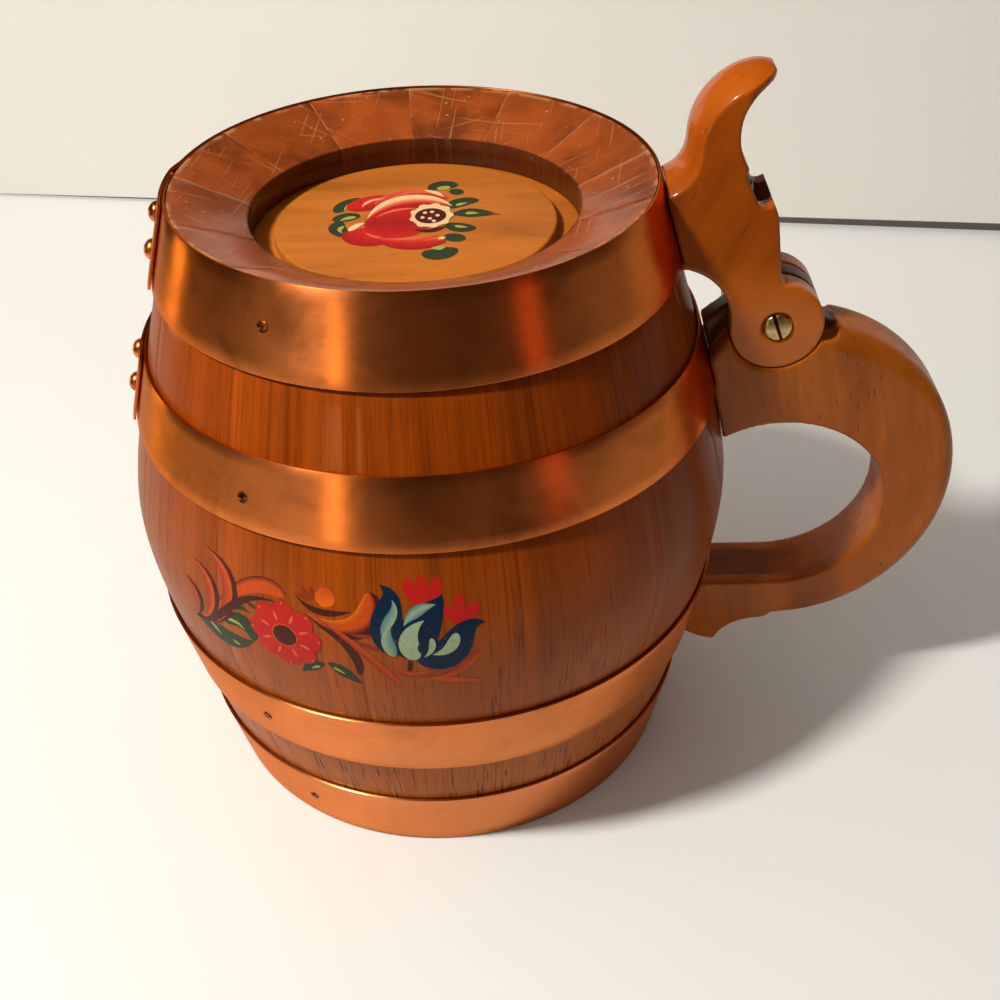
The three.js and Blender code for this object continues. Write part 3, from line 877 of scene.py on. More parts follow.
def grip_ellipse():
    barrel, handle = settings().mug_barrel, settings().mug_handle
    top = hinge_place()[1] - handle.top_drop
    bottom = high("foot_hoop") + handle.rise
    right = barrel.belly_radius + handle.reach
    return ellipse_in(right - handle.width, right, bottom, top)


def finger_ellipse():
    handle = settings().mug_handle
    x, z, half_width, half_height = grip_ellipse()
    right = x + half_width - handle.outer_rail
    bottom, top = z - half_height + handle.lower_rail, z + half_height - handle.upper_rail
    return ellipse_in(right - handle.finger_width, right, bottom, top)


def beside(point, right, up):
    """A point so many millimetres to the right of another and above it"""
    return point[0] + right * MM, point[1] + up * MM


def grip_edge(x, side):
    middle_x, middle_z, half_width, half_height = grip_ellipse()
    return middle_z + side * half_height * math.sqrt(1 - ((x - middle_x) / half_width) ** 2)


def root_line():
    """The handle's left part: tail, lower foot, upper foot, shoulder and round tongue"""
    barrel, handle = settings().mug_barrel, settings().mug_handle
    hinge = hinge_place()
    grip_x, grip_z, _, half_height = grip_ellipse()
    finger_x = finger_ellipse()[0]
    inside = wood_radius(barrel.parting) - OVERRUN
    tail_z = grip_z - half_height - handle.tail_drop
    tail = (wood_radius(tail_z) + handle.tail_reach, tail_z)
    heel = beside(tail, -10.6, 4.9)
    below = (finger_x, grip_edge(finger_x, -1))
    middle = grip_x + 2 * MM
    shoulder = hinge[0] + handle.lobe + 3.6 * MM
    crest = (shoulder, grip_edge(shoulder, 1))
    tongue = arc(*hinge, handle.lobe, handle.lobe, 5, 160, steps=40)
    neck = (tongue[0][0] + 0.6 * MM, crest[1] + 0.9 * MM)
    ledge = hinge[1] - handle.top_drop
    return [
        (inside, tail_z + 9.9 * MM),
        heel,
        *bend(heel, beside(tail, -6, 0.7), tail),
        *bend(tail, beside(tail, 3.4, 8.3), below),
        (middle, below[1] + handle.rounding),
        (middle, grip_edge(middle, 1) - handle.rounding),
        crest,
        *bend(crest, neck, tongue[0]),
        *tongue[1:],
        (hinge[0] - 18.7 * MM, ledge),
        (inside, ledge - 6 * MM),
    ]


def finger_line():
    x, z, half_width, half_height = finger_ellipse()
    inside = x - half_width - OVERRUN
    round_part = arc(x, z, half_width, half_height, -90, 140, steps=90)
    return [(inside, z), (inside, z - half_height), *round_part]


def pocket_wall():
    """Where the pockets of the hinge end, away from the barrel"""
    handle = settings().mug_handle
    return hinge_place()[0] + handle.lobe + handle.pocket_reach


def pocket_line():
    """Pocket in one side of the handle for a cheek of the lever's fork, open at the top"""
    barrel, handle = settings().mug_barrel, settings().mug_handle
    hinge = hinge_place()
    inside = wood_radius(barrel.parting) - OVERRUN
    radius = handle.lobe + barrel.fit
    wall = pocket_wall()
    above = hinge[1] + 3 * handle.lobe
    return [
        (inside, hinge[1] - handle.lobe - 1.8 * MM),
        beside(hinge, -16.7, -10),
        *arc(*hinge, radius, radius, 194, 338, steps=48),
        (wall - 0.7 * MM, hinge[1] - 4.7 * MM),
        (wall, grip_edge(wall, 1) + MM),
        (wall, above),
        (inside, above),
    ]


def barrel_room():
    """Room for the barrel in the wood that is fitted round it"""
    barrel = settings().mug_barrel
    wall = [(wood_radius(z) + barrel.fit, z) for z in stations(0, barrel.height, steps=30)]
    outline = [(0, -OVERRUN), (wall[0][0], -OVERRUN), *wall, (0, barrel.height)]
    return turned("barrel_room", outline, FINE_STEPS)


def hoop_room(node):
    fit = settings().mug_barrel.fit
    lower, upper = hoop_seat(node)
    bottom, top = low(node) - fit, high(node) + fit
    outline = [(0, bottom), (lower + fit, bottom), (upper + fit, top), (0, top)]
    return turned("hoop_room", outline, FINE_STEPS)


class Handle(bpy.types.Operator):
    """Saw the handle from a board, round its grip and cut the pockets of its hinge"""

    bl_idname = "mug.handle"
    bl_label = "Handle"

    def execute(self, context):
        handle = settings().mug_handle
        grip = arc(*grip_ellipse(), -95, 100, steps=120)
        piece = plate("handle_sawn", grip, handle.thickness, profile=quarter_round(handle.rounding))
        combine(piece, "UNION", plate("root", root_line(), handle.thickness))
        depth = (handle.thickness - handle.tongue) / 2
        middle = handle.tongue / 2 + (depth + OVERRUN) / 2
        combine(
            piece,
            "DIFFERENCE",
            plate("finger_hole", finger_line(), handle.thickness + 2 * OVERRUN),
            barrel_room(),
            hoop_room("upper_hoop"),
            hoop_room("lower_hoop"),
            plate("front_pocket", pocket_line(), depth + OVERRUN, middle=-middle),
            plate("back_pocket", pocket_line(), depth + OVERRUN, middle=middle),
        )
        soften(piece, handle.grain, rounds=4)
        smooth(piece, degrees=50)
        hand_over(piece, handle_wood, "mug", "handle_wood", "handle")
        return {"FINISHED"}


def lever_corners():
    """Where the lever's outline turns from one curve to the next"""
    barrel, lever = settings().mug_barrel, settings().mug_lever
    rim = (wood_radius(barrel.height), barrel.height)
    top = (rim[0], barrel.height + lever.rise)
    return {
        "throat": (hinge_place()[0] - 2.3 * MM, barrel.height - 11 * MM),
        "rest": beside(top, 18.5, -14.9),
        "lip": (top[0] + 25.5 * MM, top[1] - lever.lip - lever.droop),
        "back": beside(top, 6.9, -17.6),
        "rim": beside(rim, 1, -1),
        "inside": (rim[0] - OVERRUN, barrel.height - 2 * MM),
    }


def thumb_side(corners):
    """The lever's outline from the top of its tip down to the rim"""
    lever = settings().mug_lever
    tip = (corners["lip"][0] + 0.2 * MM, corners["lip"][1] + lever.lip)
    over_rest = (corners["rest"][0], tip[1] + 2 * lever.droop)
    back, rim = corners["back"], corners["rim"]
    return [
        tip,
        *bend(tip, over_rest, beside(back, 0.4, 11), back, steps=24),
        *bend(back, beside(back, -0.2, -4.3), beside(rim, 5, 2), rim, steps=12),
    ]


def lever_line():
    barrel, handle, lever = settings().mug_barrel, settings().mug_handle, settings().mug_lever
    corners = lever_corners()
    hinge = hinge_place()
    foot = beside((wood_radius(barrel.parting), barrel.parting), 1.5, -1.5)
    lobe = (hinge[0] - handle.lobe, hinge[1])
    throat, rest, lip = corners["throat"], corners["rest"], corners["lip"]
    under = (lip[0] + 0.6 * MM, lip[1] - lever.lip)
    return [
        (wood_radius(barrel.height) - OVERRUN, foot[1]),
        foot,
        *bend(foot, beside(foot, 6.1, -1.7), beside(lobe, 0, 10.5), lobe, steps=16),
        *arc(*hinge, handle.lobe, handle.lobe, 180, 450, steps=80)[1:],
        throat,
        *bend(throat, beside(throat, -1, 9), beside(rest, 0, -10.5), rest, steps=20),
        *bend(rest, beside(rest, 0, 5.5), beside(lip, -4.5, -2.7), under, steps=16),
        *arc(*lip, lever.lip, lever.lip, -55, 75, steps=8),
        *thumb_side(corners),
        corners["inside"],
    ]


def thumb_room():
    """What the lever keeps once the side under the thumb is arched across its width"""
    lever, handle = settings().mug_lever, settings().mug_handle
    corners = lever_corners()
    line = thumb_side(corners)
    right = hinge_place()[0] + 2 * handle.lobe
    left = corners["rim"][0] - 4 * OVERRUN
    bottom = hinge_place()[1] - 2 * handle.lobe
    outline = [(left, bottom), (right, bottom), (right, line[0][1]), *line, (left, line[-1][1])]
    arch = crown(handle.thickness / 2, lever.thumb_crown)
    return plate("thumb_room", outline, handle.thickness, profile=arch)


def notch_line():
    """Cross-cut in the lever's back round the screw, in the screw's own direction"""
    lever = settings().mug_lever
    corner = lever.notch_corner
    centre = lever.notch_floor + corner
    reach = centre + 12 * MM
    return [
        (reach, -lever.notch_below),
        (reach, lever.notch_above),
        *arc(centre, lever.notch_above - corner, corner, corner, 90, 180, steps=10),
        *arc(centre, corner - lever.notch_below, corner, corner, 180, 270, steps=10),
    ]


def seat_place():
    barrel, lever = settings().mug_barrel, settings().mug_lever
    return Vector((wood_radius(barrel.height) + lever.seat_out, 0, barrel.height - lever.seat_drop))


def seat_direction():
    tilt = settings().mug_lever.seat_tilt
    return Vector((math.cos(tilt), 0, math.sin(tilt)))


def tip_waste():
    """What lies beyond the round tip, seen from above"""
    barrel, handle, lever = settings().mug_barrel, settings().mug_handle, settings().mug_lever
    centre = wood_radius(barrel.height) + lever.tip_out
    side = handle.thickness / 2 + barrel.fit
    beyond = centre + lever.tip_reach + OVERRUN
    wide = side + OVERRUN
    corners = [(centre, -wide), (beyond, -wide), (beyond, wide), (centre, wide)]
    curve = arc(centre, 0, lever.tip_reach, side, 90, -90, steps=48)
    bottom = lever_corners()["rest"][1]
    piece = draw_face("tip_waste", [Vector((x, y, bottom)) for x, y in [*corners, *curve]])
    with editing(piece):
        select_everything()
        extrude(UP * lever.rise)
        tidy_normals()
    return piece


def rod(name, radius, start, end, matrix):
    piece = turned(name, [(0, start), (radius, start), (radius, end), (0, end)], SCREW_STEPS)
    set_down(piece, matrix)
    return piece


def screw_side():
    """Where the hinge screw's head sits, in the handle's front"""
    hinge_x, hinge_z = hinge_place()
    return hinge_x, -settings().mug_handle.thickness / 2, hinge_z


class ThumbLever(bpy.types.Operator):
    """Saw the thumb lever, slot its fork, cut the screw's notch and round what the thumb touches"""

    bl_idname = "mug.thumb_lever"
    bl_label = "Thumb lever"

    def execute(self, context):
        barrel, handle, lever = settings().mug_barrel, settings().mug_handle, settings().mug_lever
        screws = settings().mug_screws
        hinge_x, hinge_z = hinge_place()
        radius = handle.lobe + barrel.fit
        slot = handle.tongue + 2 * barrel.fit
        left, bottom = hinge_x - 2 * radius, hinge_z - 2 * radius
        open_from = math.radians(154)
        slope_top = hinge_z + radius * math.sin(open_from)
        slope = [(left, bottom), (hinge_x, bottom), (hinge_x, slope_top), (left, slope_top)]
        piece = plate("thumb_lever_sawn", lever_line(), handle.thickness)
        notch = plate("notch", notch_line(), handle.thickness + 2 * OVERRUN)
        set_down(notch, Matrix.Translation(seat_place()) @ Matrix.Rotation(-lever.seat_tilt, 4, "Y"))
        head, head_depth = screws.head + barrel.fit, screws.head_height / 2
        combine(piece, "INTERSECT", thumb_room())
        combine(
            piece,
            "DIFFERENCE",
            plate("fork_slot", arc(hinge_x, hinge_z, radius, radius, 0, 360, ROUND_STEPS)[:-1], slot),
            plate("fork_slope", slope, slot),
            barrel_room(),
            hoop_room("lid_hoop"),
            notch,
            tip_waste(),
            rod("seat_bore", lever.seat_radius, 0, FAR, aim(seat_place(), seat_direction())),
            rod("screw_recess", head, -head_depth, OVERRUN, aim(screw_side(), FRONT)),
        )
        soften(piece, lever.grain, rounds=3)
        smooth(piece, degrees=50)
        hand_over(piece, lever_wood, "lid", "handle_wood", "thumb_lever")
        return {"FINISHED"}


class Screws(bpy.types.Operator):
    """Turn and slot the screws of the hinge, the lid and the handle"""

    bl_idname = "mug.screws"
    bl_label = "Screws"

    def execute(self, context):
        screws = settings().mug_screws
        hinge = make_sunk_screw("hinge_screw_slotted", screws.hinge_length)
        set_down(hinge, aim(screw_side(), FRONT, screws.slot_turn))
        hand_over(hinge, brass, "lid", "brass", "hinge_screw")
        lid = make_pan_screw("lid_screw_slotted", screws.lid_length)
        set_down(lid, aim(seat_place(), seat_direction()))
        hand_over(lid, dark_steel, "lid", "dark_steel", "lid_screw")
        for end in ("upper", "lower"):
            node = f"handle_screw_{end}"
            corner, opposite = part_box(node)
            seat = (corner.x + 0.6 * MM, 0, (corner.z + opposite.z) / 2)
            piece = make_sunk_screw(f"{node}_slotted", screws.handle_length)
            set_down(piece, aim(seat, (-1, 0, 0)))
            hand_over(piece, brass, "mug", "brass", node)
        return {"FINISHED"}


def cut_slot(piece, face):
    """Cuts the slot into a screw's head and marks its inside, which the finish darkens with dirt and painted
    shade
    """
    screws = settings().mug_screws
    edge, slack = 0.12 * MM, 0.02 * MM
    cutter = begin(bpy.ops.mesh.primitive_cube_add, "slot", size=1)
    size = Matrix.Diagonal((screws.slot, 4 * screws.lid_head, 2 * screws.slot_depth, 1))
    set_down(cutter, Matrix.Translation((0, 0, face)) @ size)
    combine(piece, "DIFFERENCE", cutter)
    bevel(piece, edge, segments=2, limit=40)
    smooth(piece)
    hollow = piece.data.attributes.new("hollow", "FLOAT", "POINT")
    for vertex in piece.data.vertices:
        x, _, z = vertex.co
        inside = abs(x) < screws.slot / 2 + slack and z < face - screws.slot_depth / 2
        hollow.data[vertex.index].value = 1 if inside else 0


def make_screw(name, total, neck, head, face):
    """A slotted screw: pointed shank up to its neck, then the outline of its head"""
    shank = settings().mug_screws.shank
    piece = turned(name, [(0, -total), (shank, 2 * shank - total), (shank, neck), *head], SCREW_STEPS)
    cut_slot(piece, face)
    return piece


def make_sunk_screw(name, total):
    screws = settings().mug_screws
    dome = arc(0, 0, screws.head, screws.dome, 0, 90, steps=12)
    return make_screw(name, total, -screws.head_height, [*dome[:-1], (0, screws.dome)], screws.dome)


def make_pan_screw(name, total):
    screws = settings().mug_screws
    radius, top = screws.lid_head, screws.lid_head_height
    shoulder = arc(0, top - radius / 3, radius, radius / 3, 0, 90, steps=12)
    return make_screw(name, total, 0, [(radius, 0), *shoulder[:-1], (0, top)], top)


# Painted flowers


def brush_width(kind, s):
    """Width of a brush stroke along its length, as a share of its greatest width"""
    fullest = 2.6
    arch = math.sqrt(max(s * (1 - s), 0))
    return {
        "petal": 2 * arch,
        "blade": math.sin(math.pi * s),
        "drop": fullest * s * math.sqrt(max(1 - s, 0)),
        "comma": fullest * (1 - s) * math.sqrt(max(s, 0)),
        "line": min(1, 3.5 * arch),
    }[kind]


def stroke(place, layer, kind, width, paints, *corners):
    """One stroke of the brush: a thin sheet along a curve, with its paints side by side across it"""
    steps, across = BROAD_GRID if width > BROAD_STROKE else THIN_GRID
    palette = settings().mug_paints
    colours = [Vector(getattr(palette, name)) for name in paints.split()]
    piece = begin(
        bpy.ops.mesh.primitive_grid_add, "stroke", x_subdivisions=steps, y_subdivisions=across, size=1
    )
    painted = piece.data.attributes.new("paint", "FLOAT_COLOR", "POINT")
    for vertex in piece.data.vertices:
        s = (1 - math.cos(math.pi * (vertex.co.x + 0.5))) / 2
        t = vertex.co.y * 2
        ahead = (along(corners, min(s + 0.01, 1)) - along(corners, max(s - 0.01, 0))).normalized()
        sideways = Vector((-ahead.y, ahead.x))
        point = along(corners, s) + sideways * t * brush_width(kind, s) * width / 2
        band = (t + 1) / 2 * (len(colours) - 1)
        first = min(int(band), len(colours) - 1)
        second = min(first + 1, len(colours) - 1)
        painted.data[vertex.index].color = (*colours[first].lerp(colours[second], band - first), 1)
        vertex.co = place(point.x * MM, point.y * MM, layer)
    return piece


def spot(place, layer, paints, x, y, half_width, half_height):
    """A round dab of paint"""
    return stroke(place, layer, "petal", 2 * half_height, paints, (x - half_width, y), (x + half_width, y))


def coat_lift(layer):
    painting = settings().mug_painting
    return painting.lift + (2 * layer + 1) * painting.coat


def on_front(across, up, layer):
    """Place on the barrel's front, from distances round it and above the red flower"""
    painting = settings().mug_painting
    azimuth = painting.front_azimuth + across / settings().mug_barrel.belly_radius
    z = painting.front_height + up
    radius = wood_radius(z) + coat_lift(layer)
    return Vector((radius * math.cos(azimuth), radius * math.sin(azimuth), z))


def on_lid(x, y, layer):
    """Place on the lid's raised panel, from its middle"""
    return Vector((x, y, PANEL_TOP + coat_lift(layer)))


def dry(name, strokes, body, slot):
    """Joins the strokes to one coat of paint with a thickness"""
    piece = strokes[0]
    deselect()
    for sheet in strokes:
        sheet.select_set(True)
    bpy.context.view_layer.objects.active = piece
    bpy.ops.object.join()
    give_name(piece, name)
    with editing(piece):
        select_everything()
        bpy.ops.mesh.remove_doubles(threshold=MERGE_DISTANCE)
    finish_modifier(piece, "SOLIDIFY", thickness=settings().mug_painting.coat, offset=-1)
    smooth(piece)
    hand_over(piece, paint, body, slot)


class FrontFlowers(bpy.types.Operator):
    """Paint a red flower, a blue tulip, scrolls and leaves on the barrel's front"""

    bl_idname = "mug.front_flowers"
    bl_label = "Front flowers"

    def execute(self, context):
        strokes = [*front_leaves(), *front_scrolls(), *red_flower(), *blue_tulip()]
        dry("front_flowers", strokes, "mug", "body_wood")
        return {"FINISHED"}


def brushed(place, rows):
    return [stroke(place, *row) for row in rows]


def front_leaves():
    return brushed(
        on_front,
        [
            (0, "blade", 6.5, "green", (-33, -8), (-25, -9.5), (-18, -12), (-10, -6)),
            (0, "petal", 5.2, "green", (-19, -4), (-15, 1.5), (-9, -1), (-10.5, -6)),
            (0, "blade", 1.3, "green", (-17, 0.5), (-14, 5), (-9.5, 3)),
            (0, "blade", 1.1, "green", (-11.5, 6), (-9, 6), (-7, 4.5)),
            (1, "comma", 1.1, "moss", (-27, -6.5), (-23, -9), (-22.5, -10.5)),
            (1, "comma", 1.1, "moss", (-18.5, -2.5), (-14, -1), (-12.5, -3.5)),
            (1, "comma", 0.9, "moss", (-18, -9.5), (-16.5, -10.5), (-15.5, -10)),
            (0, "blade", 3.4, "green", (10, -7), (7, -7), (3, -11.5)),
            (0, "blade", 3.6, "green", (10.5, -6), (14, -7.5), (19, -12.5)),
            (1, "comma", 0.8, "moss", (8.5, -8), (7, -8.5), (6, -9.5)),
            (1, "comma", 0.8, "moss", (12, -7.5), (13.5, -8), (15, -9.5)),
        ],
    )


def front_scrolls():
    return brushed(
        on_front,
        [
            (2, "blade", 5, "russet orange orange", (-26, 16), (-12, 14.5), (-14, 0), (-25, -6.5)),
            (3, "blade", 1.7, "brown", (-26, 16), (-9.5, 16), (-12, -0.5), (-24.5, -7)),
            (3, "blade", 4.2, "russet orange orange", (-30, 10.5), (-20, 9.5), (-20, -2), (-29, -7.5)),
            (4, "blade", 1.5, "brown", (-30, 10.5), (-18, 10.6), (-18.2, -2.3), (-28.7, -7.8)),
            (4, "blade", 3.4, "russet orange", (-34, 3.5), (-28, 2.5), (-27, -4), (-33, -9)),
            (5, "blade", 1.3, "brown", (-34, 3.5), (-26.5, 3.4), (-25.6, -4.3), (-32.7, -9.2)),
            (1, "drop", 4.4, "orange orange orange brown", (-25, -6), (-14, 13), (-4, 15), (0.5, 11)),
            (5, "blade", 2.2, "brown", (-33.5, -9), (-20, -9.5), (-17, 11), (-1, 9)),
            (1, "comma", 1.6, "russet", (7.5, 12), (5.5, 13), (3, 12.5)),
            (1, "comma", 1.5, "russet", (7.5, 12), (6, 14), (5, 15.5)),
            (1, "comma", 1.5, "russet", (7.5, 12), (8.5, 14), (7.5, 15.8)),
            (2, "petal", 5.2, "amber orange", (8.8, 13.4), (14, 13.4)),
            (2, "blade", 1.8, "brown", (3.5, 12.5), (8, 8), (13, 9), (18, 10.5)),
            (1, "drop", 7, "brown brown orange orange amber", (6, 8.5), (15, 2), (25, 6), (22.5, 16)),
            (2, "drop", 2.4, "brown", (9.5, 5), (16, 3), (20, -3), (18.5, -9)),
            (3, "drop", 2.2, "russet orange", (7, 8.5), (19, 3.5), (24, -6), (29, -12)),
            (1, "blade", 1.3, "russet", (17.5, 3), (21, 0.5), (26.5, 0)),
            (1, "blade", 1.1, "russet", (17, 4.5), (20, 3.5), (24.5, 4.5)),
            (1, "blade", 1.8, "russet orange", (25.5, -4.5), (32, -11), (38.5, -5)),
            (1, "line", 1.2, "brown", (31.5, -3), (31, -6.5)),
            (1, "drop", 3, "orange russet", (34, -9), (43, -9), (45, -4), (48.5, -1)),
            (1, "blade", 1.6, "orange", (34, -9), (42, -10), (50, -12)),
        ],
    )


def red_flower():
    """Eight round petals about a dark eye"""
    petals = 8
    strokes = [spot(on_front, 3, "red", 0, 0, 6.3, 6.3)]
    for number in range(petals):
        out = round_about(number / petals)
        between = round_about((number + 0.5) / petals)
        strokes.append(stroke(on_front, 4 + number % 2, "petal", 6.7, "red", out * 2.7, out * 9.9))
        strokes.append(stroke(on_front, 6, "blade", 0.8, "coral", between * 4.1, between * 7.2))
        light = (out * 7.9 + between, out * 9.2 + between * 0.6)
        strokes.append(stroke(on_front, 6, "blade", 0.6, "coral", *light))
    strokes.append(spot(on_front, 7, "orange", 0, 0, 3.6, 3.5))
    strokes.append(spot(on_front, 8, "brown", 0, 0, 3.2, 3.1))
    return strokes


def round_about(part):
    """Direction at a part of a whole turn"""
    return Vector((math.cos(WHOLE_TURN * part), math.sin(WHOLE_TURN * part)))


def blue_tulip():
    return brushed(
        on_front,
        [
            (0, "petal", 3.4, "red", (36, 12), (32.5, 16), (31.5, 19.5)),
            (1, "petal", 3.4, "red", (36, 12), (35.5, 17), (35, 20.5)),
            (0, "petal", 3.4, "red", (36, 12), (39, 16), (39, 20)),
            (0, "petal", 3, "red", (44, 7.5), (40.5, 11), (40, 13)),
            (1, "petal", 3, "red", (44, 7.5), (44, 12), (44, 15.5)),
            (0, "petal", 3, "red", (44, 7.5), (47.5, 10.5), (48.5, 12.5)),
            (2, "petal", 6.5, "blue", (28, 0.5), (42, 0)),
            (3, "drop", 7.6, "blue", (25, 18), (32, 15), (21.5, 7), (29, -1)),
            (3, "comma", 9.5, "blue", (34, -2.5), (31.5, 8), (38, 10), (40, 15.5)),
            (2, "comma", 8.5, "blue", (33, -1), (44, -7), (42, 9.5), (50, 7)),
            (4, "blade", 2.6, "teal mint", (28, 14.5), (30, 10), (24.5, 8), (25.5, 3)),
            (4, "drop", 3.2, "mint teal", (27.5, 7), (25, 4), (28, -1.5)),
            (4, "blade", 3, "teal mint teal", (30.5, 7.5), (33, 12.5), (38.5, 13)),
            (5, "drop", 5, "mint", (35.5, 9), (30.5, 6), (30.5, 1), (33.5, -2.2)),
            (6, "blade", 1.2, "blue", (36, 3.5), (33, 2), (34.5, -1)),
            (6, "comma", 1.6, "mint", (36.8, 4), (37.8, 0.5), (34.8, -1.8)),
            (4, "drop", 3, "mint", (36.8, -1), (42, -0.8), (42.8, 5)),
        ],
    )


class LidFlower(bpy.types.Operator):
    """Paint a red rose with leaves on the lid's raised panel"""

    bl_idname = "mug.lid_flower"
    bl_label = "Lid flower"

    def execute(self, context):
        dry("lid_flower", [*lid_leaves(), *lid_petals(), *lid_heart()], "lid", "pale_board")
        return {"FINISHED"}


def lid_leaves():
    return brushed(
        on_lid,
        [
            (0, "petal", 5, "green", (-14.5, 13), (-19, 11), (-21, 5)),
            (0, "petal", 5, "green", (-14.5, 2), (-18, 3.5), (-21, 0)),
            (1, "petal", 4.6, "green", (-19, 0), (-21.5, -5), (-16, -9)),
            (1, "blade", 1.8, "moss", (-15.5, 11.5), (-18, 10), (-19, 6)),
            (2, "comma", 1.8, "moss", (-15.5, 2), (-18, 2), (-19.5, 0)),
            (2, "comma", 1.3, "moss", (-18, -3), (-20, -5), (-18, -7)),
            (0, "petal", 5.8, "green", (3, 17.5), (5, 22), (10, 20)),
            (1, "petal", 3.6, "green", (8, 17.5), (11.5, 15)),
            (2, "petal", 2.4, "moss", (4.5, 18.2), (8, 19.4)),
            (0, "petal", 5, "green", (8.2, 6), (10, 11), (15.8, 10.6)),
            (1, "comma", 1.4, "moss", (10, 7.6), (11, 9), (13, 9.2)),
            (0, "blade", 5.2, "green", (8.8, 2.4), (13, 4.4), (21, 1.8)),
            (1, "comma", 1.6, "moss", (12.5, 2.8), (14, 3.4), (16, 2.8)),
            (1, "blade", 1, "russet", (18, 2.4), (21.5, 1.8)),
            (0, "petal", 5, "green", (8.4, -2.6), (10.5, -6), (15.4, -5.6)),
            (1, "comma", 1.4, "moss", (10, -4), (11.5, -5), (13.3, -5)),
            (1, "petal", 4.4, "green", (7.5, -9.5), (12.8, -12)),
            (0, "petal", 6.6, "green", (3.2, -17.5), (6, -21.5), (10.8, -16.5)),
            (2, "petal", 3, "moss", (5, -14.5), (7.5, -17)),
            (4, "blade", 1.3, "cream", (6, -11.5), (8, -10.5)),
        ],
    )


def lid_petals():
    return brushed(
        on_lid,
        [
            (2, "petal", 8.5, "crimson red red", (-18, 6.5), (-12, 12), (-5, 12)),
            (3, "petal", 6.4, "red red coral", (-11, 9), (-3, 20), (7.5, 12)),
            (4, "blade", 1.4, "cream coral", (-14.5, 7.5), (-14, 13), (-8.5, 13)),
            (4, "blade", 1.2, "coral", (-8.5, 12), (-2, 19.5), (6, 14.5)),
            (5, "blade", 1.6, "cream", (1, 17.4), (4.5, 16.5), (6.5, 13)),
            (4, "petal", 6, "red crimson red", (-10, 3), (-2, 10), (7, 6)),
            (2, "petal", 10.5, "crimson red red", (-16.5, -5.5), (-13, -10.5), (-5, -10)),
            (3, "petal", 7, "crimson red coral", (-8, -11.5), (0, -15), (8, -12)),
            (4, "drop", 2, "cream", (-12.5, -1.5), (-15, -2), (-16.5, -6)),
            (4, "blade", 1.1, "coral", (-12.5, -7), (-10, -10), (-7, -10.5)),
            (5, "petal", 17, "red crimson red", (-13, -2), (3.5, -2)),
            (6, "blade", 5.6, "red coral cream cream", (-12.5, 0.5), (-9, 14), (3, 15), (9, 7)),
            (7, "blade", 1.3, "coral", (-10.5, 1), (-6, 7.5), (1, 6)),
            (7, "blade", 1.1, "coral", (-6, -11), (0, -12.5), (6.5, -9)),
            (6, "blade", 1.8, "brown", (-0.5, -5.5), (4, -9), (8.5, -3.5)),
        ],
    )


def lid_heart():
    """The rose's heart: a frilled cream edge round a dark eye with dots"""
    x, y = 3.8, 1.8
    strokes = [spot(on_lid, 8, "cream", x, y, 5.1, 6.6)]
    frills = 9
    for number in range(frills):
        out = round_about(number / frills)
        strokes.append(spot(on_lid, 9 + number % 2, "cream", x + 4.4 * out.x, y + 5.8 * out.y, 1.3, 1.5))
    strokes.append(spot(on_lid, 11, "brown", 3.6, 1.5, 4, 4.4))
    for dot in ((2.1, 3.3), (3.9, 3.7), (5.4, 1.6), (1.6, 0.5), (3.5, -0.1), (4.6, -1.6)):
        strokes.append(spot(on_lid, 12, "cream", *dot, 0.55, 0.7))
    return strokes


# Finishes


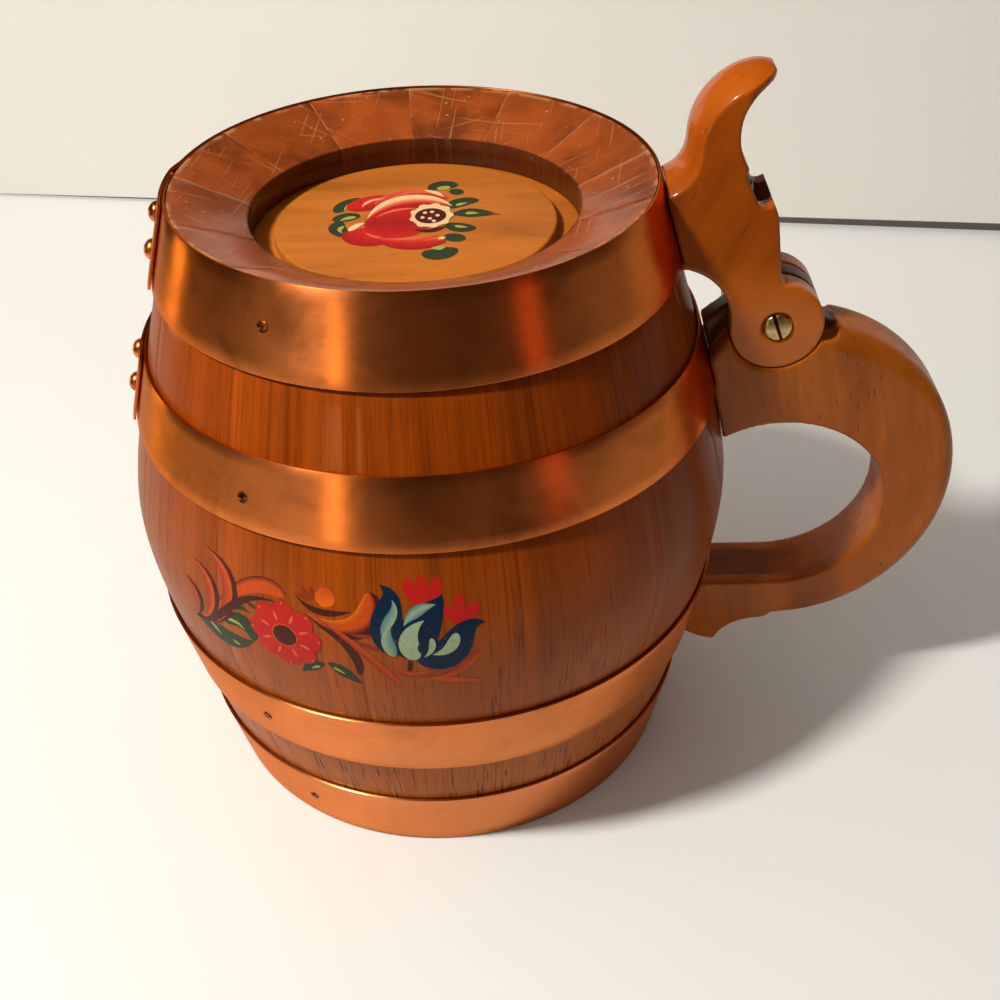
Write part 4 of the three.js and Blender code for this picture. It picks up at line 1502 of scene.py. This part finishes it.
class Recipe:
    """A material or world that is put together node by node, on the shape's own coordinates"""

    def __init__(self, owner):
        owner.use_nodes = True
        self.owner = owner
        self.tree = owner.node_tree
        self.colour = None

    def node(self, kind, inputs=None, **fields):
        made = self.tree.nodes.new(f"ShaderNode{kind}")
        for field, value in fields.items():
            setattr(made, field, value)
        for socket, value in (inputs or {}).items():
            self.feed(made.inputs[socket], value)
        return made

    def feed(self, socket, value):
        if isinstance(value, bpy.types.NodeSocket):
            self.tree.links.new(value, socket)
        elif socket.type == "RGBA" and len(value) == 3:
            socket.default_value = (*value, 1)
        else:
            socket.default_value = value

    def set(self, **sockets):
        """Sets or links the shader's sockets, with _ for each space in their names"""
        shader = self.tree.nodes["Principled BSDF"]
        for name, value in sockets.items():
            self.feed(shader.inputs[name.replace("_", " ")], value)
        return self.owner

    def varnish(self, roughness, normal, specular, coat, coat_roughness):
        """Ends a recipe for varnished wood or paint"""
        return self.set(
            Base_Color=self.colour,
            Roughness=roughness,
            Specular_IOR_Level=specular,
            Coat_Weight=coat,
            Coat_Roughness=coat_roughness,
            Normal=normal,
        )

    def bare_metal(self, roughness, normal, **sockets):
        """Ends a recipe for a metal"""
        return self.set(Base_Color=self.colour, Metallic=1, Roughness=roughness, Normal=normal, **sockets)

    def place(self):
        return self.node("TexCoord").outputs["Object"]

    def stretch(self, vector, scale=(1, 1, 1), turn=(0, 0, 0)):
        inputs = {"Vector": vector, "Rotation": turn, "Scale": scale}
        return self.node("Mapping", inputs).outputs["Vector"]

    def noise(self, vector, scale, detail=2, roughness=0.5, distortion=0):
        """Clouds, with so many of them to a metre along each axis"""
        inputs = {
            "Vector": self.stretch(vector, scale),
            "Scale": 1,
            "Detail": detail,
            "Roughness": roughness,
            "Distortion": distortion,
        }
        return self.node("TexNoise", inputs).outputs["Fac"]

    def work_out(self, operation, *values, clamp=False):
        inputs = dict(enumerate(values))
        return self.node("Math", inputs, operation=operation, use_clamp=clamp).outputs["Value"]

    def times(self, first, *others):
        for other in others:
            first = self.work_out("MULTIPLY", first, other)
        return first

    def plus(self, first, second):
        return self.work_out("ADD", first, second)

    def minus(self, first, second):
        return self.work_out("SUBTRACT", first, second)

    def most(self, first, second):
        return self.work_out("MAXIMUM", first, second)

    def vector_work(self, operation, *values, output="Vector"):
        inputs = dict(enumerate(values))
        return self.node("VectorMath", inputs, operation=operation).outputs[output]

    def compose(self, x=0.0, y=0.0, z=0.0):
        return self.node("CombineXYZ", {0: x, 1: y, 2: z}).outputs["Vector"]

    def parts(self, vector):
        return self.node("SeparateXYZ", {0: vector}).outputs

    def attribute(self, name, output):
        return self.node("Attribute", attribute_name=name).outputs[output]

    def band(self, value, start, end, low_end=0.0, high_end=1.0):
        """A value stretched so that start and end become the two ends, and held there"""
        inputs = {"Value": value, "From Min": start, "From Max": end, "To Min": low_end, "To Max": high_end}
        return self.node("MapRange", inputs, clamp=True).outputs["Result"]

    def roughness(self, clouds, smooth_end, rough_end):
        """Roughness that goes from one value to another over the clouds' middle tones"""
        return self.band(clouds, 0.3, 0.7, smooth_end, rough_end)

    def grade(self, factor, positions, tones):
        """Lays the ground: tones along a factor"""
        made = self.node("ValToRGB", {"Fac": factor})
        ramp = made.color_ramp
        while len(ramp.elements) < len(tones):
            ramp.elements.new(0.5)
        for element, position, tone in zip(ramp.elements, positions, tones):
            element.position = position
            element.color = (*tone, 1)
        self.colour = made.outputs["Color"]

    def over(self, factor, under, top, way="MIX"):
        inputs = {0: factor, 6: under, 7: top}
        return self.node("Mix", inputs, data_type="RGBA", blend_type=way).outputs[2]

    def lay(self, tint, mask):
        """Lays a tint over the colour so far, as thickly as the mask says"""
        self.colour = self.over(mask, self.colour, tint)

    def relief(self, height, distance, strength=1.0, normal=None):
        inputs = {"Height": height, "Distance": distance, "Strength": strength}
        if normal:
            inputs["Normal"] = normal
        return self.node("Bump", inputs).outputs["Normal"]

    def azimuth(self, vector):
        x, y, _ = self.parts(vector)
        return self.work_out("ARCTAN2", y, x)

    def stave(self, vector):
        """How many staves a place is from the first seam: whole part and remainder"""
        barrel = settings().mug_barrel
        pitch = WHOLE_TURN / barrel.staves
        turn = self.work_out("DIVIDE", self.minus(self.azimuth(vector), barrel.first_seam), pitch)
        around = self.work_out("WRAP", turn, barrel.staves, 0)
        number = self.work_out("FLOOR", around)
        return number, self.minus(around, number)

    def chance(self, number):
        """A tone for each stave, picked by its number"""
        return self.node("TexWhiteNoise", {"W": number}, noise_dimensions="1D").outputs["Value"]


def new_material(name):
    return Recipe(bpy.data.materials.new(name))


def stave_width():
    """Width of a body stave at the belly"""
    barrel = settings().mug_barrel
    return WHOLE_TURN / barrel.staves * barrel.belly_radius


def even(value):
    """The same value along all three axes or in all three colours"""
    return value, value, value


def toned(base, factor):
    """A darker or lighter kind of a colour, by a factor below or above 1"""
    return tuple(min(part * factor, 1) for part in base)


def shades(base, dark, light):
    """A colour between a darker and a lighter kind of itself"""
    return toned(base, dark), tuple(base), toned(base, light)


def once(make):
    """Makes a material the first time that it is asked for, and hands out the same one after that"""
    made = {}

    def get():
        if make.__name__ not in made:
            made[make.__name__] = make()
        return made[make.__name__]

    return get


@once
def body_wood():
    """Varnished staves: upright streaks, a tone for each stave, dark pores that show low down, and a painted
    reflection of the pale table towards the foot
    """
    colours = settings().mug_colours
    r = new_material("body_wood")
    place = r.place()
    number, part = r.stave(place)
    height = r.parts(place)[2]
    own = r.compose(r.times(part, stave_width()), z=r.plus(height, r.times(number, STAVE_SHIFT)))
    broad = r.noise(own, (75, 75, 5), 3, 0.55, 0.3)
    streak = r.noise(own, (420, 420, 8), 5, 0.7, 0.1)
    hair = r.noise(own, (1500, 1500, 16), 3, 0.6)
    pores = r.band(r.noise(own, (1500, 1500, 90), 1), 0.56, 0.66)
    clusters = r.band(r.noise(own, (120, 120, 14)), 0.38, 0.56)
    low_down = r.band(height, 105 * MM, 35 * MM, 0.2)
    open_pores = r.times(pores, clusters, low_down)
    tones = shades(colours.body_wood, 0.4, 1.4)
    r.grade(r.plus(r.times(broad, 0.45), r.times(streak, 0.55)), (0.3, 0.5, 0.68), tones)
    r.lay(toned(colours.body_wood, 0.55), r.band(r.chance(number), 0, 1, 0, 0.28))
    # Painted reflection: the staves grow paler towards the foot, as if they mirrored the pale table
    r.lay(colours.table_sheen, r.band(height, 120 * MM, 30 * MM, 0, 0.65))
    r.lay(toned(colours.body_wood, 0.3), r.band(hair, 0.52, 0.68, 0, 0.5))
    r.lay(colours.pore_and_shade, r.times(open_pores, 0.9))
    waves = r.relief(r.noise(place, (45, 45, 30)), 0.6 * MM, 0.35)
    normal = r.relief(r.minus(r.times(hair, 0.3), open_pores), 0.06 * MM, 0.7, waves)
    roughness = r.roughness(streak, 0.4, 0.55)
    return r.varnish(roughness, normal, specular=0.05, coat=0.18, coat_roughness=0.2)


@once
def rim_wood():
    """The lid's staves: reddish varnish with pale glue lines, scratches and small chips, and painted shade
    on the recess wall
    """
    barrel, heads, colours = settings().mug_barrel, settings().mug_heads, settings().mug_colours
    r = new_material("rim_wood")
    place = r.place()
    number, part = r.stave(place)
    x, y, z = r.parts(place)
    own = r.vector_work("ADD", place, r.compose(z=r.times(number, STAVE_SHIFT)))
    broad = r.noise(own, (60, 60, 40), 3, 0.6, 0.6)
    fine = r.noise(own, (900, 900, 60), 4, 0.65)
    broken = r.band(r.noise(own, even(240)), 0.44, 0.56)
    glue = r.times(r.band(r.work_out("MINIMUM", part, r.minus(1, part)), 0.009, 0.004), broken)
    scratch = scratches(r, place, ((28, 1500, 28), -0.2), ((34, 1700, 34), 0.35), ((1600, 40, 40), 0.15))
    chip = r.band(r.noise(place, even(520), 1), 0.745, 0.765)
    marks = r.most(r.times(glue, 0.8), r.times(scratch, 0.45))
    pale = r.work_out("MAXIMUM", marks, chip, clamp=True)
    radius = r.work_out("SQRT", r.plus(r.times(x, x), r.times(y, y)))
    # Painted shade: the recess wall of the lid is darkened nearly to black
    wall = r.band(radius, heads.recess_radius + 0.5 * MM, heads.recess_radius + 0.2 * MM, 0, 0.8)
    rubbed = r.times(r.band(z, barrel.height - 0.5 * MM, barrel.height - 0.1 * MM), broken)
    tones = shades(colours.rim_wood, 0.55, 1.3)
    dark = tones[0]
    r.grade(broad, (0.34, 0.5, 0.66), tones)
    r.lay(dark, r.band(r.chance(number), 0, 1, 0, 0.3))
    r.lay(dark, r.band(fine, 0.55, 0.75, 0, 0.5))
    r.lay(colours.worn, r.times(pale, 0.6))
    r.lay(toned(colours.rim_wood, 0.14), wall)
    r.lay(colours.worn, r.times(rubbed, 0.5))
    normal = r.relief(r.minus(fine, pale), 0.05 * MM, 0.6, r.relief(broad, 0.5 * MM, 0.25))
    roughness = r.roughness(fine, 0.38, 0.52)
    return r.varnish(roughness, normal, specular=0.15, coat=0.45, coat_roughness=0.17)


def scratches(r, vector, *sets):
    """Thin broken lines, each set in a direction of its own"""
    marks = 0.0
    for scale, turn in sets:
        clouds = r.noise(r.stretch(vector, turn=(0, 0, turn)), scale, 0)
        marks = r.most(r.band(clouds, 0.765, 0.79), marks)
    return marks


@once
def pale_board():
    """Light orange board with fine straight grain and a few dark flecks"""
    colours = settings().mug_colours
    r = new_material("pale_board")
    place = r.place()
    broad = r.noise(place, (22, 110, 60), 3, 0.55, 0.5)
    fine = r.noise(place, (45, 900, 200), 4, 0.6)
    fleck = r.band(r.noise(place, (160, 700, 300), 1), 0.725, 0.76)
    tones = shades(colours.pale_board, 0.72, 1.14)
    r.grade(broad, (0.3, 0.52, 0.72), tones)
    r.lay(tones[0], r.band(fine, 0.5, 0.75, 0, 0.3))
    r.lay(toned(colours.pale_board, 0.3), r.times(fleck, 0.5))
    roughness, normal = r.roughness(fine, 0.42, 0.56), r.relief(fine, 0.03 * MM, 0.5)
    return r.varnish(roughness, normal, specular=0.2, coat=0.2, coat_roughness=0.3)


@once
def handle_wood():
    """Fine-grained varnished wood with short dark pores"""
    colours = settings().mug_colours
    r = new_material("handle_wood")
    place = r.place()
    grain = r.stretch(place, turn=(0, 0.25, 0))
    broad = r.noise(grain, (40, 60, 14), 3, 0.6, 0.5)
    fine = r.noise(grain, (420, 700, 40), 5, 0.65, 0.3)
    pores = r.band(r.noise(grain, (1300, 1300, 210), 1), 0.66, 0.73)
    clusters = r.band(r.noise(grain, (60, 60, 20)), 0.45, 0.6)
    open_pores = r.times(pores, clusters)
    tones = shades(colours.handle_wood, 0.62, 1.25)
    r.grade(broad, (0.3, 0.5, 0.7), tones)
    r.lay(tones[0], r.band(fine, 0.45, 0.7, 0, 0.6))
    r.lay(colours.pore_and_shade, r.times(open_pores, 0.75))
    # Painted shade in the hinge's pockets and the crook above the lower foot
    r.lay(toned(colours.handle_wood, 0.12), handle_painted_shade(r, place))
    waves = r.relief(r.noise(place, even(110)), 0.4 * MM, 0.3)
    normal = r.relief(r.minus(fine, open_pores), 0.05 * MM, 0.5, waves)
    roughness = r.roughness(fine, 0.4, 0.52)
    return r.varnish(roughness, normal, specular=0.08, coat=0.3, coat_roughness=0.16)


def handle_painted_shade(r, place):
    """Painted shade on the handle: the hinge's pockets and the crook above the lower foot, darkened where
    they lie in shadow
    """
    handle = settings().mug_handle
    wall = pocket_wall()
    under_disc = hinge_place()[1] - handle.lobe
    floor = handle.tongue / 2
    side = handle.thickness / 2 - handle.rounding
    crook_reach, crook_top = 98 * MM, 55 * MM
    x, y, z = r.parts(place)
    off_middle = r.work_out("ABSOLUTE", y)
    pocket = r.times(
        r.band(off_middle, floor + 0.6 * MM, floor + 0.3 * MM),
        r.band(x, wall + 0.3 * MM, wall),
        r.band(z, under_disc - 3 * MM, under_disc - 2 * MM, 0, 0.8),
    )
    crook = r.times(
        r.band(off_middle, side + MM, side),
        r.band(x, crook_reach + 14 * MM, crook_reach),
        r.band(z, crook_top + 5 * MM, crook_top, 0, 0.6),
    )
    return r.most(pocket, crook)


@once
def lever_wood():
    """The handle's wood, in the handle's lighter tone on the cheeks, with a painted highlight on the top and
    painted shade round the screw's bore
    """
    colours = settings().mug_colours
    r = new_material("lever_wood")
    place = r.place()
    grain = r.stretch(place, turn=(0, -0.35, 0))
    broad = r.noise(grain, (50, 60, 16), 3, 0.6, 0.5)
    fine = r.noise(grain, (420, 700, 40), 5, 0.65, 0.3)
    pores = r.band(r.noise(grain, (1300, 1300, 210), 1), 0.67, 0.74)
    height = r.parts(place)[2]
    dark, middle, light = shades(colours.lever_wood, 0.62, 1.3)
    r.grade(broad, (0.3, 0.5, 0.7), (dark, middle, light))
    r.lay(dark, r.band(fine, 0.45, 0.72, 0, 0.45))
    r.lay(colours.pore_and_shade, r.times(pores, 0.5))
    # Painted highlight: the lever grows lighter towards its top
    highlight_from, highlight_full = 168 * MM, 196 * MM
    cheek_from, cheek_full = 152 * MM, 142 * MM
    r.lay(light, r.band(height, highlight_from, highlight_full, 0, 0.35))
    r.lay(toned(colours.handle_wood, 1.3), r.band(height, cheek_from, cheek_full, 0, 0.75))
    # Painted shade inside the bore round the lid screw's head
    bore = settings().mug_lever.seat_radius
    off_axis = distance_from_line(r, place, seat_place(), seat_direction())
    r.lay(colours.pore_and_shade, r.band(off_axis, bore + 0.6 * MM, bore + 0.1 * MM, 0, 0.85))
    waves = r.relief(r.noise(place, even(120)), 0.5 * MM, 0.35)
    normal = r.relief(r.minus(fine, pores), 0.05 * MM, 0.5, waves)
    roughness = r.roughness(fine, 0.38, 0.5)
    return r.varnish(roughness, normal, specular=0.1, coat=0.5, coat_roughness=0.1)


def distance_from_line(r, vector, point, direction):
    from_point = r.vector_work("SUBTRACT", vector, point)
    return r.vector_work("LENGTH", r.vector_work("CROSS_PRODUCT", from_point, direction), output="Value")


@once
def paint():
    """Thin oil paint with brush marks, a little worn, under the varnish"""
    r = new_material("paint")
    place = r.place()
    marks = r.noise(place, (900, 900, 500), 3, 0.6)
    bare = r.band(r.noise(place, even(520), 3, 0.7), 0.62, 0.7)
    own = r.attribute("paint", "Color")
    r.colour = r.over(r.band(marks, 0.35, 0.75, 0, 0.3), own, even(0.5), "MULTIPLY")
    r.lay(settings().mug_colours.body_wood, r.times(bare, 0.35))
    roughness, normal = r.roughness(marks, 0.4, 0.52), r.relief(marks, 0.04 * MM, 0.5)
    return r.varnish(roughness, normal, specular=0.05, coat=0.12, coat_roughness=0.22)


@once
def copper():
    """Copper sheet brushed along its length, with tarnish and fingerprints, paler towards the foot with dust
    and a painted reflection of the table
    """
    colours = settings().mug_colours
    r = new_material("copper")
    place = r.place()
    height = r.parts(place)[2]
    sheet = r.compose(r.azimuth(place), height)
    brush_marks = r.noise(sheet, (9, 4200, 1), 3, 0.6)
    lines = r.noise(sheet, (3, 1400, 1), 4, 0.65)
    cloud = r.noise(place, even(38), 4, 0.6, 0.8)
    stain = r.band(r.noise(place, (90, 90, 55)), 0.6, 0.85)
    tones = shades(colours.copper, 0.62, 1.12)
    r.grade(cloud, (0.3, 0.5, 0.68), tones)
    # Paler copper towards the foot: partly dust, partly a painted reflection of the pale table
    r.lay(colours.dust_and_sheen, r.band(height, 90 * MM, 40 * MM, 0, 0.75))
    r.lay(tones[0], r.band(lines, 0.45, 0.8, 0, 0.4))
    r.lay(colours.tarnish, r.times(stain, 0.4))
    waves = r.relief(r.noise(sheet, (5, 30, 1), 1), 0.3 * MM, 0.08)
    return r.bare_metal(
        r.plus(r.roughness(cloud, 0.29, 0.33), r.times(stain, 0.05)),
        r.relief(brush_marks, 0.02 * MM, 0.3, waves),
        Specular_Tint=colours.copper_edge,
        Anisotropic=0.86,
        Anisotropic_Rotation=0.25,
        Tangent=r.node("Tangent", direction_type="RADIAL", axis="Z").outputs["Tangent"],
    )


@once
def stud_copper():
    """Copper of the rivets, mottled in tone"""
    r = new_material("stud_copper")
    cloud = r.noise(r.place(), even(300), 4, 0.6)
    r.grade(cloud, (0.35, 0.5, 0.7), shades(settings().mug_colours.copper, 0.4, 1.1))
    return r.bare_metal(r.roughness(cloud, 0.22, 0.38), r.relief(cloud, 0.12 * MM, 0.4))


@once
def dark_copper():
    """Copper of the nails, nearly black with age and bright where it is rubbed"""
    r = new_material("dark_copper")
    rubbed = r.noise(r.place(), even(900), 3, 0.6)
    bright = settings().mug_colours.copper
    r.grade(rubbed, (0.5, 0.62, 0.7), (toned(bright, 0.05), toned(bright, 0.7), bright))
    return r.bare_metal(r.band(rubbed, 0.4, 0.7, 0.5, 0.3), r.relief(rubbed, 0.15 * MM, 0.5))


@once
def brass():
    """Dull brass with fine turning marks"""
    colours = settings().mug_colours
    r = new_material("brass")
    place = r.place()
    cloud = r.noise(place, even(500), 4, 0.6)
    r.grade(cloud, (0.35, 0.52, 0.7), shades(colours.brass, 0.5, 1.15))
    # Dirt and painted shade darken the inside of the slot
    r.lay(colours.pore_and_shade, r.attribute("hollow", "Fac"))
    return r.bare_metal(r.roughness(cloud, 0.25, 0.42), r.relief(r.noise(place, even(1500)), 0.03 * MM, 0.5))


@once
def dark_steel():
    """Browned steel with bright mottles, and dirt and painted shade inside the slot"""
    colours = settings().mug_colours
    r = new_material("dark_steel")
    cloud = r.noise(r.place(), even(400), 4, 0.6)
    r.grade(cloud, (0.38, 0.55, 0.72), shades(colours.steel, 0.4, 2.4))
    # Dirt and painted shade darken the inside of the slot
    r.lay(colours.pore_and_shade, r.attribute("hollow", "Fac"))
    return r.bare_metal(r.roughness(cloud, 0.25, 0.45), r.relief(cloud, 0.06 * MM, 0.6))


# Table, lamps and camera


class Stage(bpy.types.Operator):
    """Set up the floor, the lamps and the camera"""

    bl_idname = "mug.stage"
    bl_label = "Stage"

    def execute(self, context):
        lay_table()
        hang_lamps()
        light_room()
        place_camera()
        settings().view_settings.view_transform = "Standard"
        return {"FINISHED"}


def matt(name, base, spread, grain):
    """Plain painted board: slight clouds of tone and a fine tooth"""
    r = new_material(name)
    place = r.place()
    r.grade(r.noise(place, even(3), 3), (0.35, 0.5, 0.65), shades(base, 1 - spread, 1 + spread))
    return r.set(
        Base_Color=r.colour, Roughness=0.5, Normal=r.relief(r.noise(place, even(grain)), 0.05 * MM, 0.2)
    )


def lay_table():
    """Table top with the low wall behind it, and a dark strip painted as the shadow under the wall"""
    colours, stage = settings().mug_colours, settings().mug_stage
    left, right = -stage.table_left, stage.table_right
    front, back = -stage.table_front, stage.wall_distance
    wide = right - left
    deep = back + WALL_SWING * wide - front
    table = begin(bpy.ops.mesh.primitive_plane_add, "table", size=1)
    middle = Matrix.Translation(((left + right) / 2, front + deep / 2, 0))
    set_down(table, middle @ Matrix.Diagonal((wide, deep, 1, 1)))
    table.data.materials.append(matt("table", colours.table, TONE_SPREAD, 900))
    # The second sheet is a dark strip painted as the shadow under the wall
    for name, height, lift, behind, base in (
        ("wall", stage.wall_height, stage.wall_gap, 0, colours.wall),
        ("skirting", 3 * stage.wall_gap, 0, 2 * MM, colours.gap),
    ):
        sheet = begin(bpy.ops.mesh.primitive_plane_add, name, size=1)
        lean = -stage.wall_lean if lift else 0
        turn = Matrix.Rotation(stage.wall_turn, 4, "Z") @ Matrix.Rotation(lean, 4, "Y")
        stretch = Matrix.Diagonal((wide, height, 1, 1))
        middle = Matrix.Translation((wide / 2 + left, behind, height / 2 + lift))
        set_down(sheet, Matrix.Translation((0, back, 0)) @ turn @ middle @ aim((0, 0, 0), FRONT) @ stretch)
        sheet.data.materials.append(one_sided(matt(name, base, TONE_SPREAD, 500)))


def one_sided(material):
    """Lets a sheet be seen from its front only"""
    r = Recipe(material)
    shader = r.tree.nodes["Principled BSDF"].outputs["BSDF"]
    behind = r.node("NewGeometry").outputs["Backfacing"]
    clear = r.node("BsdfTransparent").outputs["BSDF"]
    shown = r.node("MixShader", {0: behind, 1: shader, 2: clear}).outputs["Shader"]
    r.feed(r.tree.nodes["Material Output"].inputs["Surface"], shown)
    return material


def put_up(data, matrix):
    """Puts a lamp or a camera in its place"""
    thing = bpy.data.objects.new(data.name, data)
    settings().collection.objects.link(thing)
    thing.matrix_world = matrix
    return thing


def hang_lamp(name, place, target, size, power, tint):
    lamp = bpy.data.lights.new(name, "AREA")
    lamp.shape = "DISK"
    lamp.energy = power
    lamp.size = size
    lamp.color = tint
    return put_up(lamp, aim(place, place - target))


def hang_lamps():
    """Key lamp, and three weak lamps that only show as streaks and a glow in what shines"""
    stage = settings().mug_stage
    target = Vector((0, 0, settings().mug_barrel.height / 2))
    key_place = target + Vector(stage.key_from).normalized() * stage.key_reach
    hang_lamp("key", key_place, target, stage.key_size, stage.key_power, stage.key_tint)
    for name in ("gleam", "window", "ember"):
        values = [getattr(stage, f"{name}_{what}") for what in ("size", "power", "tint")]
        place = Vector(getattr(stage, f"{name}_place"))
        hang_lamp(name, place, target, *values).visible_diffuse = False


def light_room():
    """Dim light from all round, stronger from the left, a dark room in what shines and a pale background"""
    colours, stage = settings().mug_colours, settings().mug_stage
    world = bpy.data.worlds.new("room")
    settings().world = world
    r = Recipe(world)
    path = r.node("LightPath").outputs
    across, _, up = r.parts(r.node("TexCoord").outputs["Generated"])
    side_light = r.work_out("MULTIPLY_ADD", across, -stage.lean * stage.ambient, stage.ambient)
    soft = r.times(side_light, r.band(up, 0, 1, stage.horizon, stage.zenith))
    dim = r.over(1, r.compose(soft, soft, soft), colours.dusk, "MULTIPLY")
    mirrored = r.over(path["Is Glossy Ray"], dim, tuple(Vector(colours.room) * stage.mirrored))
    seen = r.over(path["Is Camera Ray"], mirrored, tuple(colours.wall))
    r.feed(r.tree.nodes["Background"].inputs["Color"], seen)


def place_camera():
    sizes = settings().mug_camera
    camera = bpy.data.cameras.new("camera")
    camera.lens = sizes.lens
    camera.sensor_width = SENSOR_WIDTH
    turn = Euler((QUARTER_TURN - sizes.pitch, 0, -sizes.yaw)).to_matrix()
    leant = turn @ Matrix.Rotation(sizes.roll, 3, "Z")
    settings().camera = put_up(camera, Matrix.Translation(sizes.place) @ leant.to_4x4())


# Panel and run


OPERATORS = (
    StaveSet,
    LidBoard,
    BottomBoard,
    Hoops,
    Rivets,
    Nails,
    Handle,
    ThumbLever,
    Screws,
    FrontFlowers,
    LidFlower,
    Stage,
)


class MugPanel(bpy.types.Panel):
    """Lists what makes the mug"""

    bl_idname = "VIEW3D_PT_barrel_mug"
    bl_label = "Barrel mug"
    bl_space_type = "VIEW_3D"
    bl_region_type = "UI"
    bl_category = "Barrel mug"

    def draw(self, context):
        for operator in OPERATORS:
            self.layout.operator(operator.bl_idname)


def register():
    for group in (*SETTINGS.values(), *OPERATORS, MugPanel):
        bpy.utils.register_class(group)
    for name, group in SETTINGS.items():
        setattr(bpy.types.Scene, name, bpy.props.PointerProperty(type=group))


def unregister():
    for name in SETTINGS:
        delattr(bpy.types.Scene, name)
    for group in reversed((*SETTINGS.values(), *OPERATORS, MugPanel)):
        bpy.utils.unregister_class(group)


def main():
    register()
    for operator in OPERATORS:
        family, name = operator.bl_idname.split(".")
        getattr(getattr(bpy.ops, family), name)()


if __name__ == "__main__":
    main()
